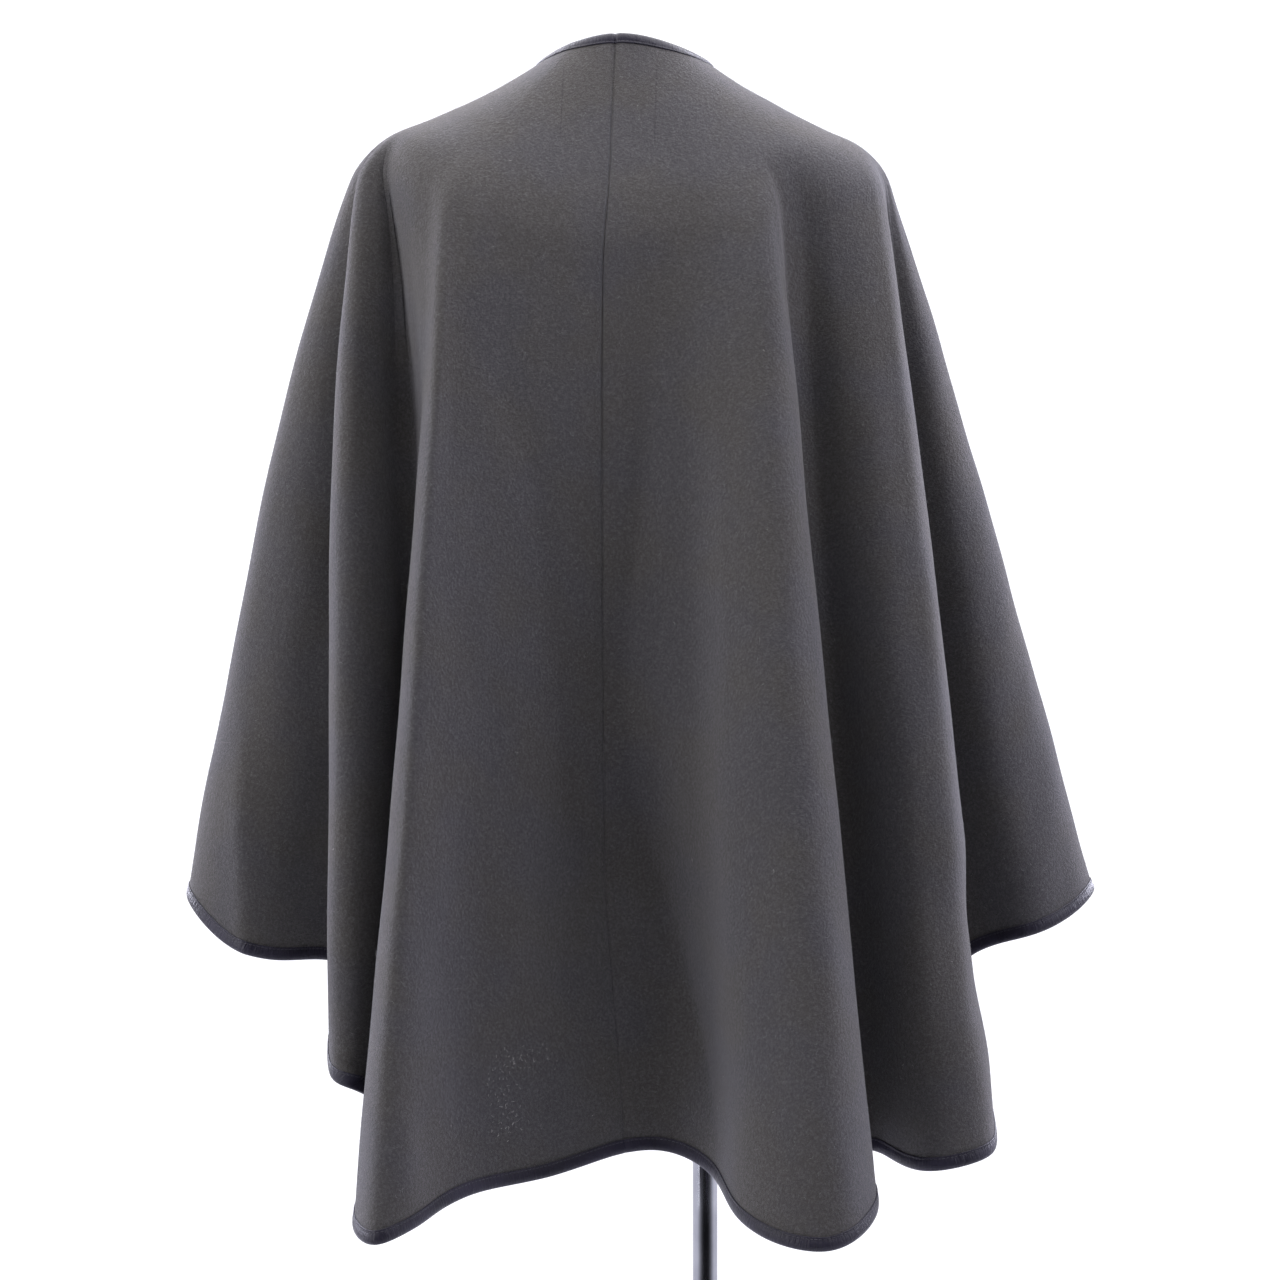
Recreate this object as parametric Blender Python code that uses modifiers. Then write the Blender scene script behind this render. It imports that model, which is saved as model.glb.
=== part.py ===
"""Felted wool poncho with a leather-bound neck and hem, on a limbless dress form.

Four panels are cut and sewn: two backs and two fronts, with seams down the centre back, the centre
front and over each shoulder. +Z is up, the wearer's back faces -Y and the origin is on the floor in
the middle of the stand's base. The cloth lies on the form as far as the yoke line, where it leaves
the body, and hangs from there to the hem in folds that open like cones.
"""

import math

import bpy
import numpy as np

MM = 0.001
SEAM_GAP = 0.3 * MM
MERGE = 0.05 * MM
SHARP_EDGE = math.radians(50)

CLOTH = 2.0 * MM
SEAT_GAP = 0.5 * MM
LEATHER = 0.9 * MM
NECK_BINDING = 7.5 * MM
HEM_BINDING = 9.0 * MM

V_NECK_BOTTOM = 1190 * MM
V_NECK_TOP = 1394 * MM
V_NECK_HALF_WIDTH = 62 * MM
NECK_EDGE = 8 * MM
NECK_DIP = 4 * MM
SHOULDER_BEND = 30 * MM
BEND_HANDLE = 0.6
HANGING_LENGTH = 800 * MM
SHARPEST_MITRE = 0.25
# A short way along a line, as a share of it, that gives the line's direction.
NEXT_SHARE = 0.02

COLUMNS_PER_FOLD_POINT = 2
CAP_ROWS = 3
BEND_ROWS = 3
HANG_ROWS = 9
LAST_HANG_ROW = 0.955

# The form's neck and the yoke line round the body, clockwise from above, in millimetres.
FORM_LINES = (
    # place             neck x, y, z        yoke x, y, z
    ("centre_back",     (-7, -52, 1408),    (-13, -105, 1250)),
    ("left_blade",      (-36, -38, 1401),   (-137, -88, 1285)),
    ("left_back_tip",   (-52, -16, 1394),   (-188, -50, 1307)),
    ("left_tip",        (-57, 0, 1391),     (-205, -4, 1315)),
    ("left_front_tip",  (-54, 14, 1389),    (-190, 44, 1298)),
    ("left_bust",       (-34, 42, 1384),    (-118, 102, 1182)),
    ("centre_front",    (0, 56, 1378),      (0, 118, 1100)),
    ("right_bust",      (34, 42, 1384),     (118, 102, 1182)),
    ("right_front_tip", (54, 14, 1389),     (188, 44, 1298)),
    ("right_tip",       (57, 0, 1391),      (203, -4, 1308)),
    ("right_back_tip",  (52, -16, 1393),    (186, -50, 1302)),
    ("right_blade",     (34, -40, 1400),    (110, -92, 1283)),
)

# The hem from the centre back seam round the left side to the centre front, in millimetres. Yoke is
# where the line hangs from, counted along FORM_LINES, and bow is how far it bellies out on the way.
LEFT_HEM = (
    # place              x     y     z    yoke   bow x, y
    ("back_seam",        (2, -155, 540), 0.00, (-7, 0)),
    ("back_slope",       (-52, -182, 527), 0.35, (0, 0)),
    ("big_fold_inner",   (-112, -214, 518), 0.74, (0, -4)),
    ("big_fold_turn",    (-152, -257, 501), 0.92, (0, -8)),
    ("big_fold_tip",     (-177, -273, 493), 0.97, (0, -10)),
    ("big_fold_edge",    (-192, -250, 495), 1.02, (1, -8)),
    ("big_fold_back",    (-188, -196, 512), 1.20, (3, 2)),
    ("back_valley",      (-167, -149, 536), 1.76, (17, 8)),
    ("back_valley_floor", (-173, -131, 550), 2.15, (22, 17)),
    ("small_fold_hollow", (-184, -133, 566), 2.27, (13, 15)),
    ("small_fold_inner", (-192, -152, 580), 2.36, (2, 2)),
    ("small_fold_tip",   (-206, -166, 590), 2.45, (-12, -8)),
    ("small_fold_edge",  (-221, -138, 606), 2.52, (-18, -4)),
    ("small_fold_back",  (-212, -88, 634), 2.58, (-15, 0)),
    ("side_valley",      (-200, -50, 654), 2.65, (-12, 4)),
    ("side_valley_floor", (-209, -36, 665), 2.70, (-12, 4)),
    ("side_inner",       (-238, -37, 674), 2.77, (-12, 0)),
    ("side_face",        (-276, -46, 675), 2.88, (-16, 0)),
    ("side_turn",        (-316, -34, 690), 3.00, (-18, 0)),
    ("side_edge",        (-349, 16, 723), 3.12, (-18, 0)),
    ("side_seam",        (-328, 66, 708), 3.26, (-16, 4)),
    ("side_front",       (-288, 92, 686), 3.42, (-12, 8)),
    ("front_side_valley", (-234, 80, 656), 3.58, (-6, 6)),
    ("front_side_floor", (-216, 92, 640), 3.70, (-6, 6)),
    ("front_small_back", (-212, 128, 612), 3.86, (-6, 8)),
    ("front_small_tip",  (-216, 186, 580), 4.08, (-8, 8)),
    ("front_small_inner", (-186, 196, 564), 4.26, (-6, 8)),
    ("front_valley",     (-164, 150, 562), 4.46, (0, 0)),
    ("front_valley_floor", (-148, 136, 556), 4.60, (0, 0)),
    ("front_big_back",   (-130, 182, 542), 4.80, (0, 6)),
    ("front_big_tip",    (-112, 254, 516), 5.00, (0, 10)),
    ("front_big_inner",  (-66, 256, 514), 5.22, (0, 8)),
    ("front_slope",      (-26, 204, 532), 5.56, (0, 4)),
    ("front_seam",       (4, 172, 548), 6.00, (0, 2)),
)
RIGHT_HEM = (
    ("back_seam",        (2, -155, 540), 12.00, (-7, 0)),
    ("back_hollow",      (26, -150, 541), 11.80, (-2, 0)),
    ("big_fold_inner",   (62, -172, 529), 11.58, (0, 0)),
    ("big_fold_rise",    (82, -232, 508), 11.38, (2, -4)),
    ("big_fold_turn",    (110, -272, 494), 11.24, (4, -8)),
    ("big_fold_tip",     (147, -286, 491), 11.14, (5, -10)),
    ("big_fold_edge",    (178, -256, 504), 11.07, (6, -8)),
    ("big_fold_back",    (176, -196, 524), 11.00, (6, 0)),
    ("back_valley_floor", (172, -132, 536), 10.88, (0, 12)),
    ("back_valley",      (182, -128, 538), 10.72, (0, 14)),
    ("small_fold_inner", (206, -150, 532), 10.42, (2, 0)),
    ("small_fold_turn",  (236, -180, 531), 10.16, (4, -4)),
    ("small_fold_tip",   (264, -176, 537), 9.94, (8, -6)),
    ("small_fold_edge",  (281, -132, 549), 9.76, (9, -4)),
    ("small_fold_back",  (266, -66, 592), 9.56, (6, 0)),
    ("side_valley",      (249, -30, 630), 9.44, (4, 4)),
    ("side_valley_floor", (255, -14, 652), 9.34, (4, 4)),
    ("side_inner",       (274, -14, 674), 9.23, (4, 0)),
    ("side_face",        (318, -34, 692), 9.12, (6, 0)),
    ("side_turn",        (356, -14, 708), 9.00, (6, 0)),
    ("side_edge",        (377, 26, 724), 8.88, (6, 0)),
    ("side_seam",        (356, 70, 710), 8.74, (6, 4)),
    ("side_front",       (308, 94, 690), 8.58, (6, 8)),
    ("front_side_valley", (254, 80, 662), 8.42, (4, 6)),
    ("front_side_floor", (238, 92, 646), 8.30, (4, 6)),
    ("front_small_back", (236, 126, 612), 8.14, (4, 8)),
    ("front_small_tip",  (232, 184, 580), 7.92, (6, 8)),
    ("front_small_inner", (196, 182, 566), 7.72, (4, 8)),
    ("front_valley",     (168, 138, 562), 7.46, (0, 0)),
    ("front_valley_floor", (150, 140, 554), 7.30, (0, 0)),
    ("front_big_back",   (148, 196, 538), 7.16, (0, 6)),
    ("front_big_tip",    (118, 262, 515), 6.98, (0, 10)),
    ("front_big_inner",  (70, 252, 518), 6.72, (0, 8)),
    ("front_slope",      (34, 196, 538), 6.36, (0, 4)),
)

# The form below the yoke line, in millimetres: half width, depth behind and depth in front.
TORSO_SECTIONS = (
    # height  half width  behind  in front
    (1300, 176, 96, 84),
    (1210, 168, 98, 100),
    (1150, 156, 96, 108),
    (1080, 144, 90, 106),
    (1000, 120, 80, 92),
    (930, 136, 92, 92),
    (850, 160, 106, 98),
    (800, 158, 104, 96),
)
FORM_COLUMNS = 60
FORM_CAP_SHARES = (0.22, 0.42, 0.62)
FRONT_EASE = 1.5 * MM
FRONT_EASE_REACH = 40 * MM
FORM_BEND_SHARE = 0.06
FORM_TORSO_ROWS = 8
FORM_NECK_EDGE = 12 * MM
NECK_FOOT = 1389 * MM
NECK_FOOT_RADIUS = 36 * MM
FORM_TOP = 1396 * MM
NECK_TOP_RADIUS = 33 * MM
FORM_BOTTOM = 792 * MM
FORM_BOTTOM_SHARE = 0.82

BODY_X = -64 * MM
POLE_RADIUS = 10 * MM
BASE_RADIUS = 170 * MM
BASE_THICKNESS = 9 * MM
BASE_EDGE = 3 * MM
SOCKET_RADIUS = 19 * MM
SOCKET_HEIGHT = 34 * MM
ROUND_STEPS = 48


def material(name, colour, roughness, metallic=0.0):
    made = bpy.data.materials.new(name)
    made.use_nodes = True
    shader = made.node_tree.nodes["Principled BSDF"]
    shader.inputs["Base Color"].default_value = (*colour, 1.0)
    shader.inputs["Roughness"].default_value = roughness
    shader.inputs["Metallic"].default_value = metallic
    return made


def spline_bends(points):
    """Chord lengths and second derivatives of the closed cubic spline through the points."""
    chord = np.linalg.norm(np.roll(points, -1, 0) - points, axis=1)
    before = np.roll(chord, 1)
    count = len(points)
    system = np.zeros((count, count))
    index = np.arange(count)
    system[index, (index - 1) % count] = before
    system[index, index] = 2 * (before + chord)
    system[index, (index + 1) % count] = chord
    slope = (np.roll(points, -1, 0) - points) / chord[:, None]
    return chord, np.linalg.solve(system, 6 * (slope - np.roll(slope, 1, 0)))


def on_spline(points, positions):
    """Points of the closed spline at positions counted in rows, such as 2.5 between rows 2 and 3."""
    chord, bend = spline_bends(points)
    row = np.floor(positions).astype(int)
    t = (positions - row)[:, None]
    first = row % len(points)
    second = (row + 1) % len(points)
    scale = (chord[first] ** 2 / 6)[:, None]
    start = points[first] - scale * bend[first]
    end = points[second] - scale * bend[second]
    cubic = scale * (bend[first] * (1 - t) ** 3 + bend[second] * t**3)
    return start * (1 - t) + end * t + cubic


def eased(values, positions, whole=0.0):
    """A column of the hem table between its rows, with no overshoot. Whole is its rise in one round."""
    count = len(values)
    after = np.vstack([values[1:], values[:1] + whole])
    step = after - values
    previous = np.roll(step, 1, 0)
    total = step + previous
    safe = np.where(np.abs(total) < 1e-9, 1.0, total)
    slope = np.where(step * previous > 0, 2 * step * previous / safe, 0.0)
    row = np.floor(positions).astype(int) % count
    t = (positions - np.floor(positions))[:, None]
    rise, fall = slope[row], slope[(row + 1) % count]
    hermite = (t**3 - 2 * t**2 + t) * rise + (t**3 - t**2) * fall
    return values[row] + (3 * t**2 - 2 * t**3) * step[row] + hermite


def hem_rows():
    """The hem table in one round: the left side forwards, then the right side backwards."""
    return LEFT_HEM + tuple(reversed(RIGHT_HEM[1:]))


def seam_rows():
    """The rows of the round at the centre back, left side, centre front and right side seams."""
    names = [row[0] for row in hem_rows()]
    sides = [i for i, name in enumerate(names) if name == "side_seam"]
    return (0, sides[0], names.index("front_seam"), sides[1])


def unit(vectors):
    return vectors / np.linalg.norm(vectors, axis=-1, keepdims=True)


def cap_lines(place):
    """The form's neck and yoke points at each place round it."""
    neck = np.array([row[1] for row in FORM_LINES], float) * MM
    yoke = np.array([row[2] for row in FORM_LINES], float) * MM
    return on_spline(neck, place), on_spline(yoke, place)


def on_cap(neck, yoke, share):
    """Points between neck and yoke, dipped where the shoulder runs into the neck."""
    share = np.asarray(share)[..., None]
    # The curve's highest value is 4/27, a third of the way down.
    dip = NECK_DIP * 27 / 4 * share * (1 - share) ** 2
    return neck + share * (yoke - neck) - dip * np.array([0, 0, 1])


def neckline_share(neck, yoke):
    """How far down each line the neckline is cut: a round back and a straight-edged V in front."""
    length = np.linalg.norm(yoke - neck, axis=1)
    lean = V_NECK_HALF_WIDTH / (V_NECK_TOP - V_NECK_BOTTOM)
    spread = np.abs(yoke[:, 0]) - np.abs(neck[:, 0])
    fall = lean * (yoke[:, 2] - neck[:, 2])
    cut = (lean * (neck[:, 2] - V_NECK_BOTTOM) - np.abs(neck[:, 0])) / (spread - fall)
    in_front = yoke[:, 1] > 0
    return np.where(in_front, np.maximum(cut, NECK_EDGE / length), NECK_EDGE / length)


def inset(edge, beside, width):
    """Points inside the cloth at a distance from its edge, with mitred corners, and the way there.

    Beside holds a point of the cloth next to each edge point.
    """
    along = unit(np.roll(edge, -1, 0) - edge)
    arriving = np.roll(along, 1, 0)
    tangent = unit(along + arriving)
    inward = beside - edge
    inward = unit(inward - (inward * tangent).sum(1)[:, None] * tangent)
    mitre = np.sqrt((1 + (along * arriving).sum(1)) / 2)
    return edge + inward * (width / np.maximum(mitre, SHARPEST_MITRE))[:, None], inward


def bellied(yoke, hem, bow, share):
    """Hanging lines from yoke to hem, bellied out soonest just under the yoke."""
    # The curve is scaled to 1 where it is widest, a third of the way down.
    belly = 1.5 * math.sqrt(3 * share) * (1 - share)
    sideways = np.column_stack([bow, np.zeros(len(bow))])
    return yoke + share * (hem - yoke) + belly * sideways


def cloth_grid(per_row):
    """Rows of points down the middle of the cloth's thickness, from the neckline to the hem."""
    rows = hem_rows()
    position = np.arange(len(rows) * per_row) / per_row
    hem = on_spline(np.array([row[1] for row in rows], float) * MM, position)
    place = eased(np.array([[row[2]] for row in rows]), position, len(FORM_LINES))[:, 0]
    bow = eased(np.array([row[3] for row in rows], float) * MM, position)
    neck, yoke = cap_lines(place)
    start = neckline_share(neck, yoke)
    end = 1 - SHOULDER_BEND / np.linalg.norm(yoke - neck, axis=1)

    edge = on_cap(neck, yoke, start)
    bound, _ = inset(edge, on_cap(neck, yoke, start + NEXT_SHARE), NECK_BINDING)
    bend_start = on_cap(neck, yoke, end)
    leaving = unit(bend_start - on_cap(neck, yoke, end - NEXT_SHARE))
    bend_share = SHOULDER_BEND / HANGING_LENGTH
    bend_end = bellied(yoke, hem, bow, bend_share)
    falling = unit(bellied(yoke, hem, bow, bend_share + NEXT_SHARE) - bend_end)

    grid = [edge]
    for share in np.linspace(0, 1, CAP_ROWS, endpoint=False):
        grid.append(bound + share * (on_cap(neck, yoke, end) - bound))
    handle = BEND_HANDLE * SHOULDER_BEND
    for t in np.linspace(0, 1, BEND_ROWS, endpoint=False):
        grid.append(
            (1 - t) ** 3 * bend_start
            + 3 * t * (1 - t) ** 2 * (bend_start + handle * leaving)
            + 3 * t**2 * (1 - t) * (bend_end - handle * falling)
            + t**3 * bend_end
        )
    for share in np.linspace(bend_share, LAST_HANG_ROW, HANG_ROWS):
        grid.append(bellied(yoke, hem, bow, share))
    grid.append(inset(hem, grid[-1], HEM_BINDING)[0])
    grid.append(hem)
    return np.array(grid)


def grid_normals(grid):
    """Outward unit normals of a grid that closes on itself from side to side."""
    across = np.roll(grid, -1, 1) - np.roll(grid, 1, 1)
    down = np.gradient(grid, axis=0)
    return unit(np.cross(across, down))


def new_object(name, points, faces, made_of):
    """A closed mesh whose points are measured from the middle of the neck."""
    mesh = bpy.data.meshes.new(name)
    mesh.from_pydata([tuple(p) for p in points], [], faces)
    mesh.materials.append(made_of)
    mesh.shade_smooth()
    mesh.set_sharp_from_angle(angle=SHARP_EDGE)
    made = bpy.data.objects.new(name, mesh)
    made.location.x = BODY_X
    parts.objects.link(made)
    return made


def strip(first, second):
    """Triangles between two rows of point numbers, facing out where the rows run clockwise and down."""
    faces = []
    for a, b, c, d in zip(first, first[1:], second[1:], second):
        faces += [(a, b, c), (a, c, d)]
    return faces


def cloth_panel(name, grid, normals, first, last, made_of):
    """One cut piece of cloth: the wall between two seams of the grid."""
    columns = [i % grid.shape[1] for i in range(first, last + 1)]
    middle = grid[:, columns].copy()
    out = normals[:, columns]
    for seam, neighbour in ((0, 1), (-1, -2)):
        away = unit(middle[:, neighbour] - middle[:, seam])
        middle[:, seam] += away * SEAM_GAP / 2
    rows, width = middle.shape[:2]
    points = np.concatenate([middle + out * CLOTH / 2, middle - out * CLOTH / 2]).reshape(-1, 3)
    outer = np.arange(rows * width).reshape(rows, width)
    inner = outer + rows * width
    faces = []
    for upper, lower in zip(range(rows), range(1, rows)):
        faces += strip(list(outer[upper]), list(outer[lower]))
        faces += [tuple(reversed(f)) for f in strip(list(inner[upper]), list(inner[lower]))]
    faces += strip(list(inner[0]), list(outer[0]))
    faces += strip(list(outer[-1]), list(inner[-1]))
    faces += strip(list(outer[:, 0]), list(inner[:, 0]))
    faces += strip(list(inner[:, -1]), list(outer[:, -1]))
    return new_object(name, points, faces, made_of)


def binding(name, edge, inside, edge_out, inside_out, made_of):
    """Leather folded over an edge of the cloth: a ring of U-shaped section.

    Edge is the cloth's edge and inside the row where the leather ends, with their normals.
    """
    near = CLOTH / 2 + SEAM_GAP
    far = near + LEATHER
    past = unit(edge - inside)
    lip = edge + past * (SEAM_GAP + LEATHER)
    slot = edge + past * SEAM_GAP
    section = [
        inside + far * inside_out,
        lip + far * edge_out,
        lip - far * edge_out,
        inside - far * inside_out,
        inside - near * inside_out,
        slot - near * edge_out,
        slot + near * edge_out,
        inside + near * inside_out,
    ]
    count = len(edge)
    points = np.concatenate(section)
    faces = []
    for side in range(len(section)):
        upper = [side * count + i % count for i in range(count + 1)]
        lower = [(side + 1) % len(section) * count + i % count for i in range(count + 1)]
        crossed_like_the_cloth = side in (2, 5, 6)
        if crossed_like_the_cloth:
            faces += [tuple(reversed(f)) for f in strip(lower, upper)]
        else:
            faces += strip(upper, lower)
    return new_object(name, points, faces, made_of)


def torso_ring(direction, height):
    """An oval round the form with a point in each direction, each at its own height."""
    table = np.array(sorted(TORSO_SECTIONS), float) * MM
    half_width, behind, ahead = (np.interp(height, table[:, 0], table[:, i]) for i in (1, 2, 3))
    depth = np.where(direction[:, 1] < 0, behind, ahead)
    return np.column_stack([direction[:, 0] * half_width, direction[:, 1] * depth, height])


def dress_form(made_of):
    """The limbless form: a short neck, the shoulders that the cloth lies on, and a closed torso."""
    place = np.arange(FORM_COLUMNS) * len(FORM_LINES) / FORM_COLUMNS
    neck, yoke = cap_lines(place)
    length = np.linalg.norm(yoke - neck, axis=1)
    shares = [FORM_NECK_EDGE / length]
    shares += [np.full(FORM_COLUMNS, share) for share in FORM_CAP_SHARES]
    shares.append(1 - SHOULDER_BEND / length)
    cap = np.array([on_cap(neck, yoke, share) for share in shares])
    in_front = np.clip(yoke[:, 1] / FRONT_EASE_REACH, 0, 1)
    inward = CLOTH / 2 + SEAM_GAP + LEATHER + SEAT_GAP + FRONT_EASE * in_front
    cap = cap - inward[:, None] * grid_normals(cap)

    angle = np.arctan2(yoke[:, 1] / TORSO_SECTIONS[0][2], yoke[:, 0] / TORSO_SECTIONS[0][1])
    direction = np.column_stack([np.cos(angle), np.sin(angle)])
    torso = []
    for share in np.linspace(FORM_BEND_SHARE, 1, FORM_TORSO_ROWS):
        torso.append(torso_ring(direction, yoke[:, 2] * (1 - share) + TORSO_SECTIONS[-1][0] * MM * share))
    flat = np.column_stack([direction, np.zeros(FORM_COLUMNS)])
    neck_foot = NECK_FOOT_RADIUS * flat + np.array([0, 0, NECK_FOOT])
    neck_top = NECK_TOP_RADIUS * flat + np.array([0, 0, FORM_TOP])
    bottom = torso[-1] * np.array([FORM_BOTTOM_SHARE, FORM_BOTTOM_SHARE, 0])
    bottom = bottom + np.array([0, 0, FORM_BOTTOM])
    rings = [neck_top, neck_foot, *cap, *torso, bottom]
    points = np.concatenate([*rings, [neck_top.mean(0)], [bottom.mean(0)]])
    faces = []
    around = np.arange(FORM_COLUMNS + 1) % FORM_COLUMNS
    for upper in range(len(rings) - 1):
        faces += strip(list(around + upper * FORM_COLUMNS), list(around + (upper + 1) * FORM_COLUMNS))
    top, end = len(points) - 2, len(points) - 1
    faces += [(top, b, a) for a, b in zip(around, around[1:])]
    last = list(around + (len(rings) - 1) * FORM_COLUMNS)
    faces += [(end, a, b) for a, b in zip(last, last[1:])]
    return new_object("dress_form", points, faces, made_of)


def turned(name, profile, made_of):
    """A solid turned about a vertical axis, from a profile of radius and height, top to bottom."""
    mesh = bpy.data.meshes.new(name)
    mesh.from_pydata([(r, 0, z) for r, z in profile], [(i, i + 1) for i in range(len(profile) - 1)], [])
    mesh.materials.append(made_of)
    made = bpy.data.objects.new(name, mesh)
    parts.objects.link(made)
    screw = made.modifiers.new("turn", "SCREW")
    screw.steps = screw.render_steps = ROUND_STEPS
    screw.use_merge_vertices = True
    screw.merge_threshold = MERGE
    return made


def stand(steel):
    """The round base with its socket, and the pole that stands in it and carries the form."""
    socket_floor = BASE_THICKNESS
    bore = POLE_RADIUS + SEAM_GAP
    turned("stand_base", [
        (0, socket_floor),
        (bore, socket_floor),
        (bore, SOCKET_HEIGHT),
        (SOCKET_RADIUS - BASE_EDGE / 2, SOCKET_HEIGHT),
        (SOCKET_RADIUS, SOCKET_HEIGHT - BASE_EDGE / 2),
        (SOCKET_RADIUS, BASE_THICKNESS + BASE_EDGE),
        (SOCKET_RADIUS + BASE_EDGE, BASE_THICKNESS),
        (BASE_RADIUS - BASE_EDGE, BASE_THICKNESS),
        (BASE_RADIUS, BASE_THICKNESS - BASE_EDGE),
        (BASE_RADIUS, 0),
        (0, 0),
    ], steel)
    pole_bottom = socket_floor + SEAM_GAP
    pole_top = FORM_BOTTOM - SEAM_GAP
    bpy.ops.mesh.primitive_cylinder_add(
        vertices=ROUND_STEPS,
        radius=POLE_RADIUS,
        depth=pole_top - pole_bottom,
        location=(0, 0, (pole_top + pole_bottom) / 2),
    )
    pole = bpy.context.object
    pole.name = "stand_pole"
    pole.data.materials.append(steel)
    pole.data.shade_smooth()
    pole.data.set_sharp_from_angle(angle=SHARP_EDGE)
    for holder in list(pole.users_collection):
        holder.objects.unlink(pole)
    parts.objects.link(pole)


def poncho(wool, leather):
    grid = cloth_grid(COLUMNS_PER_FOLD_POINT)
    normals = grid_normals(grid)
    back, left, front, right = (row * COLUMNS_PER_FOLD_POINT for row in seam_rows())
    whole = grid.shape[1]
    cloth_panel("back_left", grid, normals, back, left, wool)
    cloth_panel("front_left", grid, normals, left, front, wool)
    cloth_panel("front_right", grid, normals, front, right, wool)
    cloth_panel("back_right", grid, normals, right, back + whole, wool)
    binding("neck_binding", grid[0][::-1], grid[1][::-1], normals[0][::-1], normals[1][::-1], leather)
    binding("hem_binding", grid[-1], grid[-2], normals[-1], normals[-2], leather)


for old in list(bpy.data.objects):
    bpy.data.objects.remove(old)
parts = bpy.data.collections.new("poncho on a dress form")
bpy.context.scene.collection.children.link(parts)

poncho(
    material("felted wool", (0.105, 0.10, 0.105), 0.95),
    material("dark leather", (0.022, 0.018, 0.03), 0.4),
)
dress_form(material("form cover", (0.78, 0.76, 0.72), 0.8))
stand(material("chromed steel", (0.62, 0.63, 0.65), 0.18, 1.0))
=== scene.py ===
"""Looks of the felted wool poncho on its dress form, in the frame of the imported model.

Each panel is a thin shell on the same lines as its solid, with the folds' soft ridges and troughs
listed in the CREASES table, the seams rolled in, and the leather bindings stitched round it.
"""

import math

import bpy
import numpy as np
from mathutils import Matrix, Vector


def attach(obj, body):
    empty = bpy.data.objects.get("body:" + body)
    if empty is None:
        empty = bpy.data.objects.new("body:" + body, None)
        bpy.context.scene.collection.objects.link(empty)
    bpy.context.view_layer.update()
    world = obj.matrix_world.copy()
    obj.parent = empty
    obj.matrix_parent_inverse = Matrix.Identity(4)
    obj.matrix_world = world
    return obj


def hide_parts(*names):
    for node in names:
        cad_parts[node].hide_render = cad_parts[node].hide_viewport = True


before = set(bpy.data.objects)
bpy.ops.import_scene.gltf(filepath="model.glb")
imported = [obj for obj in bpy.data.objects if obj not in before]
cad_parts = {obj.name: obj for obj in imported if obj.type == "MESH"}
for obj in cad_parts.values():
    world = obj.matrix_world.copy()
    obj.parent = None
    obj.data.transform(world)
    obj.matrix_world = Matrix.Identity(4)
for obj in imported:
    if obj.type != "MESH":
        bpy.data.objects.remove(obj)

MM = 0.001
# The middle of the neck, from which the tables count across.
BODY_X = -64 * MM

CLOTH = 2.0 * MM
SEAM_GAP = 0.3 * MM
SEAT_GAP = 0.5 * MM
LEATHER = 0.9 * MM
NECK_BINDING = 7.5 * MM
HEM_BINDING = 9.0 * MM

V_NECK_BOTTOM = 1190 * MM
V_NECK_TOP = 1394 * MM
V_NECK_HALF_WIDTH = 62 * MM
NECK_EDGE = 8 * MM
NECK_DIP = 4 * MM
SHOULDER_BEND = 30 * MM
BEND_HANDLE = 0.6
HANGING_LENGTH = 800 * MM
SHARPEST_MITRE = 0.25
# A short way along a line, as a share of it, that gives the line's direction.
NEXT_SHARE = 0.02

COLUMNS_PER_FOLD_POINT = 8
CAP_ROWS = 24
BEND_ROWS = 8
HANG_ROWS = 110
LAST_HANG_ROW = 0.975
# Extra columns this far to each side of a seam, in rows of the hem table.
SEAM_STEPS = (0.012, 0.03, 0.06)
SEAM_ROLL = 1.5 * MM
SEAM_SOFT = 2.2 * MM
# The angles, in degrees, past which an edge is drawn sharp.
CLOTH_SHARP = 60
STAND_SHARP = 40

CAMERA_PLACE = (-0.052, -2.6, 0.925)
CAMERA_LENS = 91.4
BACKDROP_LIGHT = 1.3
ROOM_LIGHT = 1.3
ROOM_SHADE = 0.02
LIGHTS = (
    # name                   place                      size        watts  colour
    ("softbox overhead",     (BODY_X, 0.0, 2.05),      (2.4, 1.4),  53.0,  "#ffffff"),
    ("softbox left",         (-2.6, -0.9, 1.5),        (1.2, 1.6),  50.0,  "#ffffff"),
    ("softbox right",        (2.4, -0.7, 2.2),         (1.0, 1.6),  52.0,  "#ececff"),
    ("softbox behind left",  (BODY_X - 1.7, 1.6, 1.8), (1.0, 1.8),  125.0, "#ececff"),
    ("softbox behind right", (BODY_X + 1.7, 1.6, 1.8), (1.0, 1.8),  125.0, "#ececff"),
)
LIGHTS_AIM = (BODY_X, 0, 1.1)
FLOOR_SIZE = 4.0

WOOL_WARM = "#383634"
WOOL_COOL = "#373638"
WOOL_PALE = "#565355"
WOOL_DEEP = "#161416"

# Sizes of the patterns on each material, and how deep they are.
WOOL_DRIFT = 60 * MM
WOOL_CLUMP = 2.1 * MM
WOOL_CLUMP_DEPTH = 1.3 * MM
WOOL_FIBRE = 0.7 * MM
WOOL_FIBRE_DEPTH = 0.5 * MM
LEATHER_CREASE = 1.6 * MM
LEATHER_CREASE_LENGTH = 10 * MM
LEATHER_CREASE_DEPTH = 0.9 * MM
LEATHER_PORE = 2 / 3 * MM
LEATHER_PORE_DEPTH = 0.1 * MM
LEATHER_WEAR = 30 * MM
YARN_TWIST = 0.7 * MM
YARN_DEPTH = 0.1 * MM
JERSEY_RIB = 1.2083 * MM
JERSEY_RIB_DEPTH = 0.2 * MM
JERSEY_DRIFT = 50 * MM
CHROME_HAZE = 40 * MM
CHROME_RIPPLE = 2 * MM
CHROME_RIPPLE_DEPTH = 0.01 * MM
FLOOR_DRIFT = 500 * MM

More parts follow.
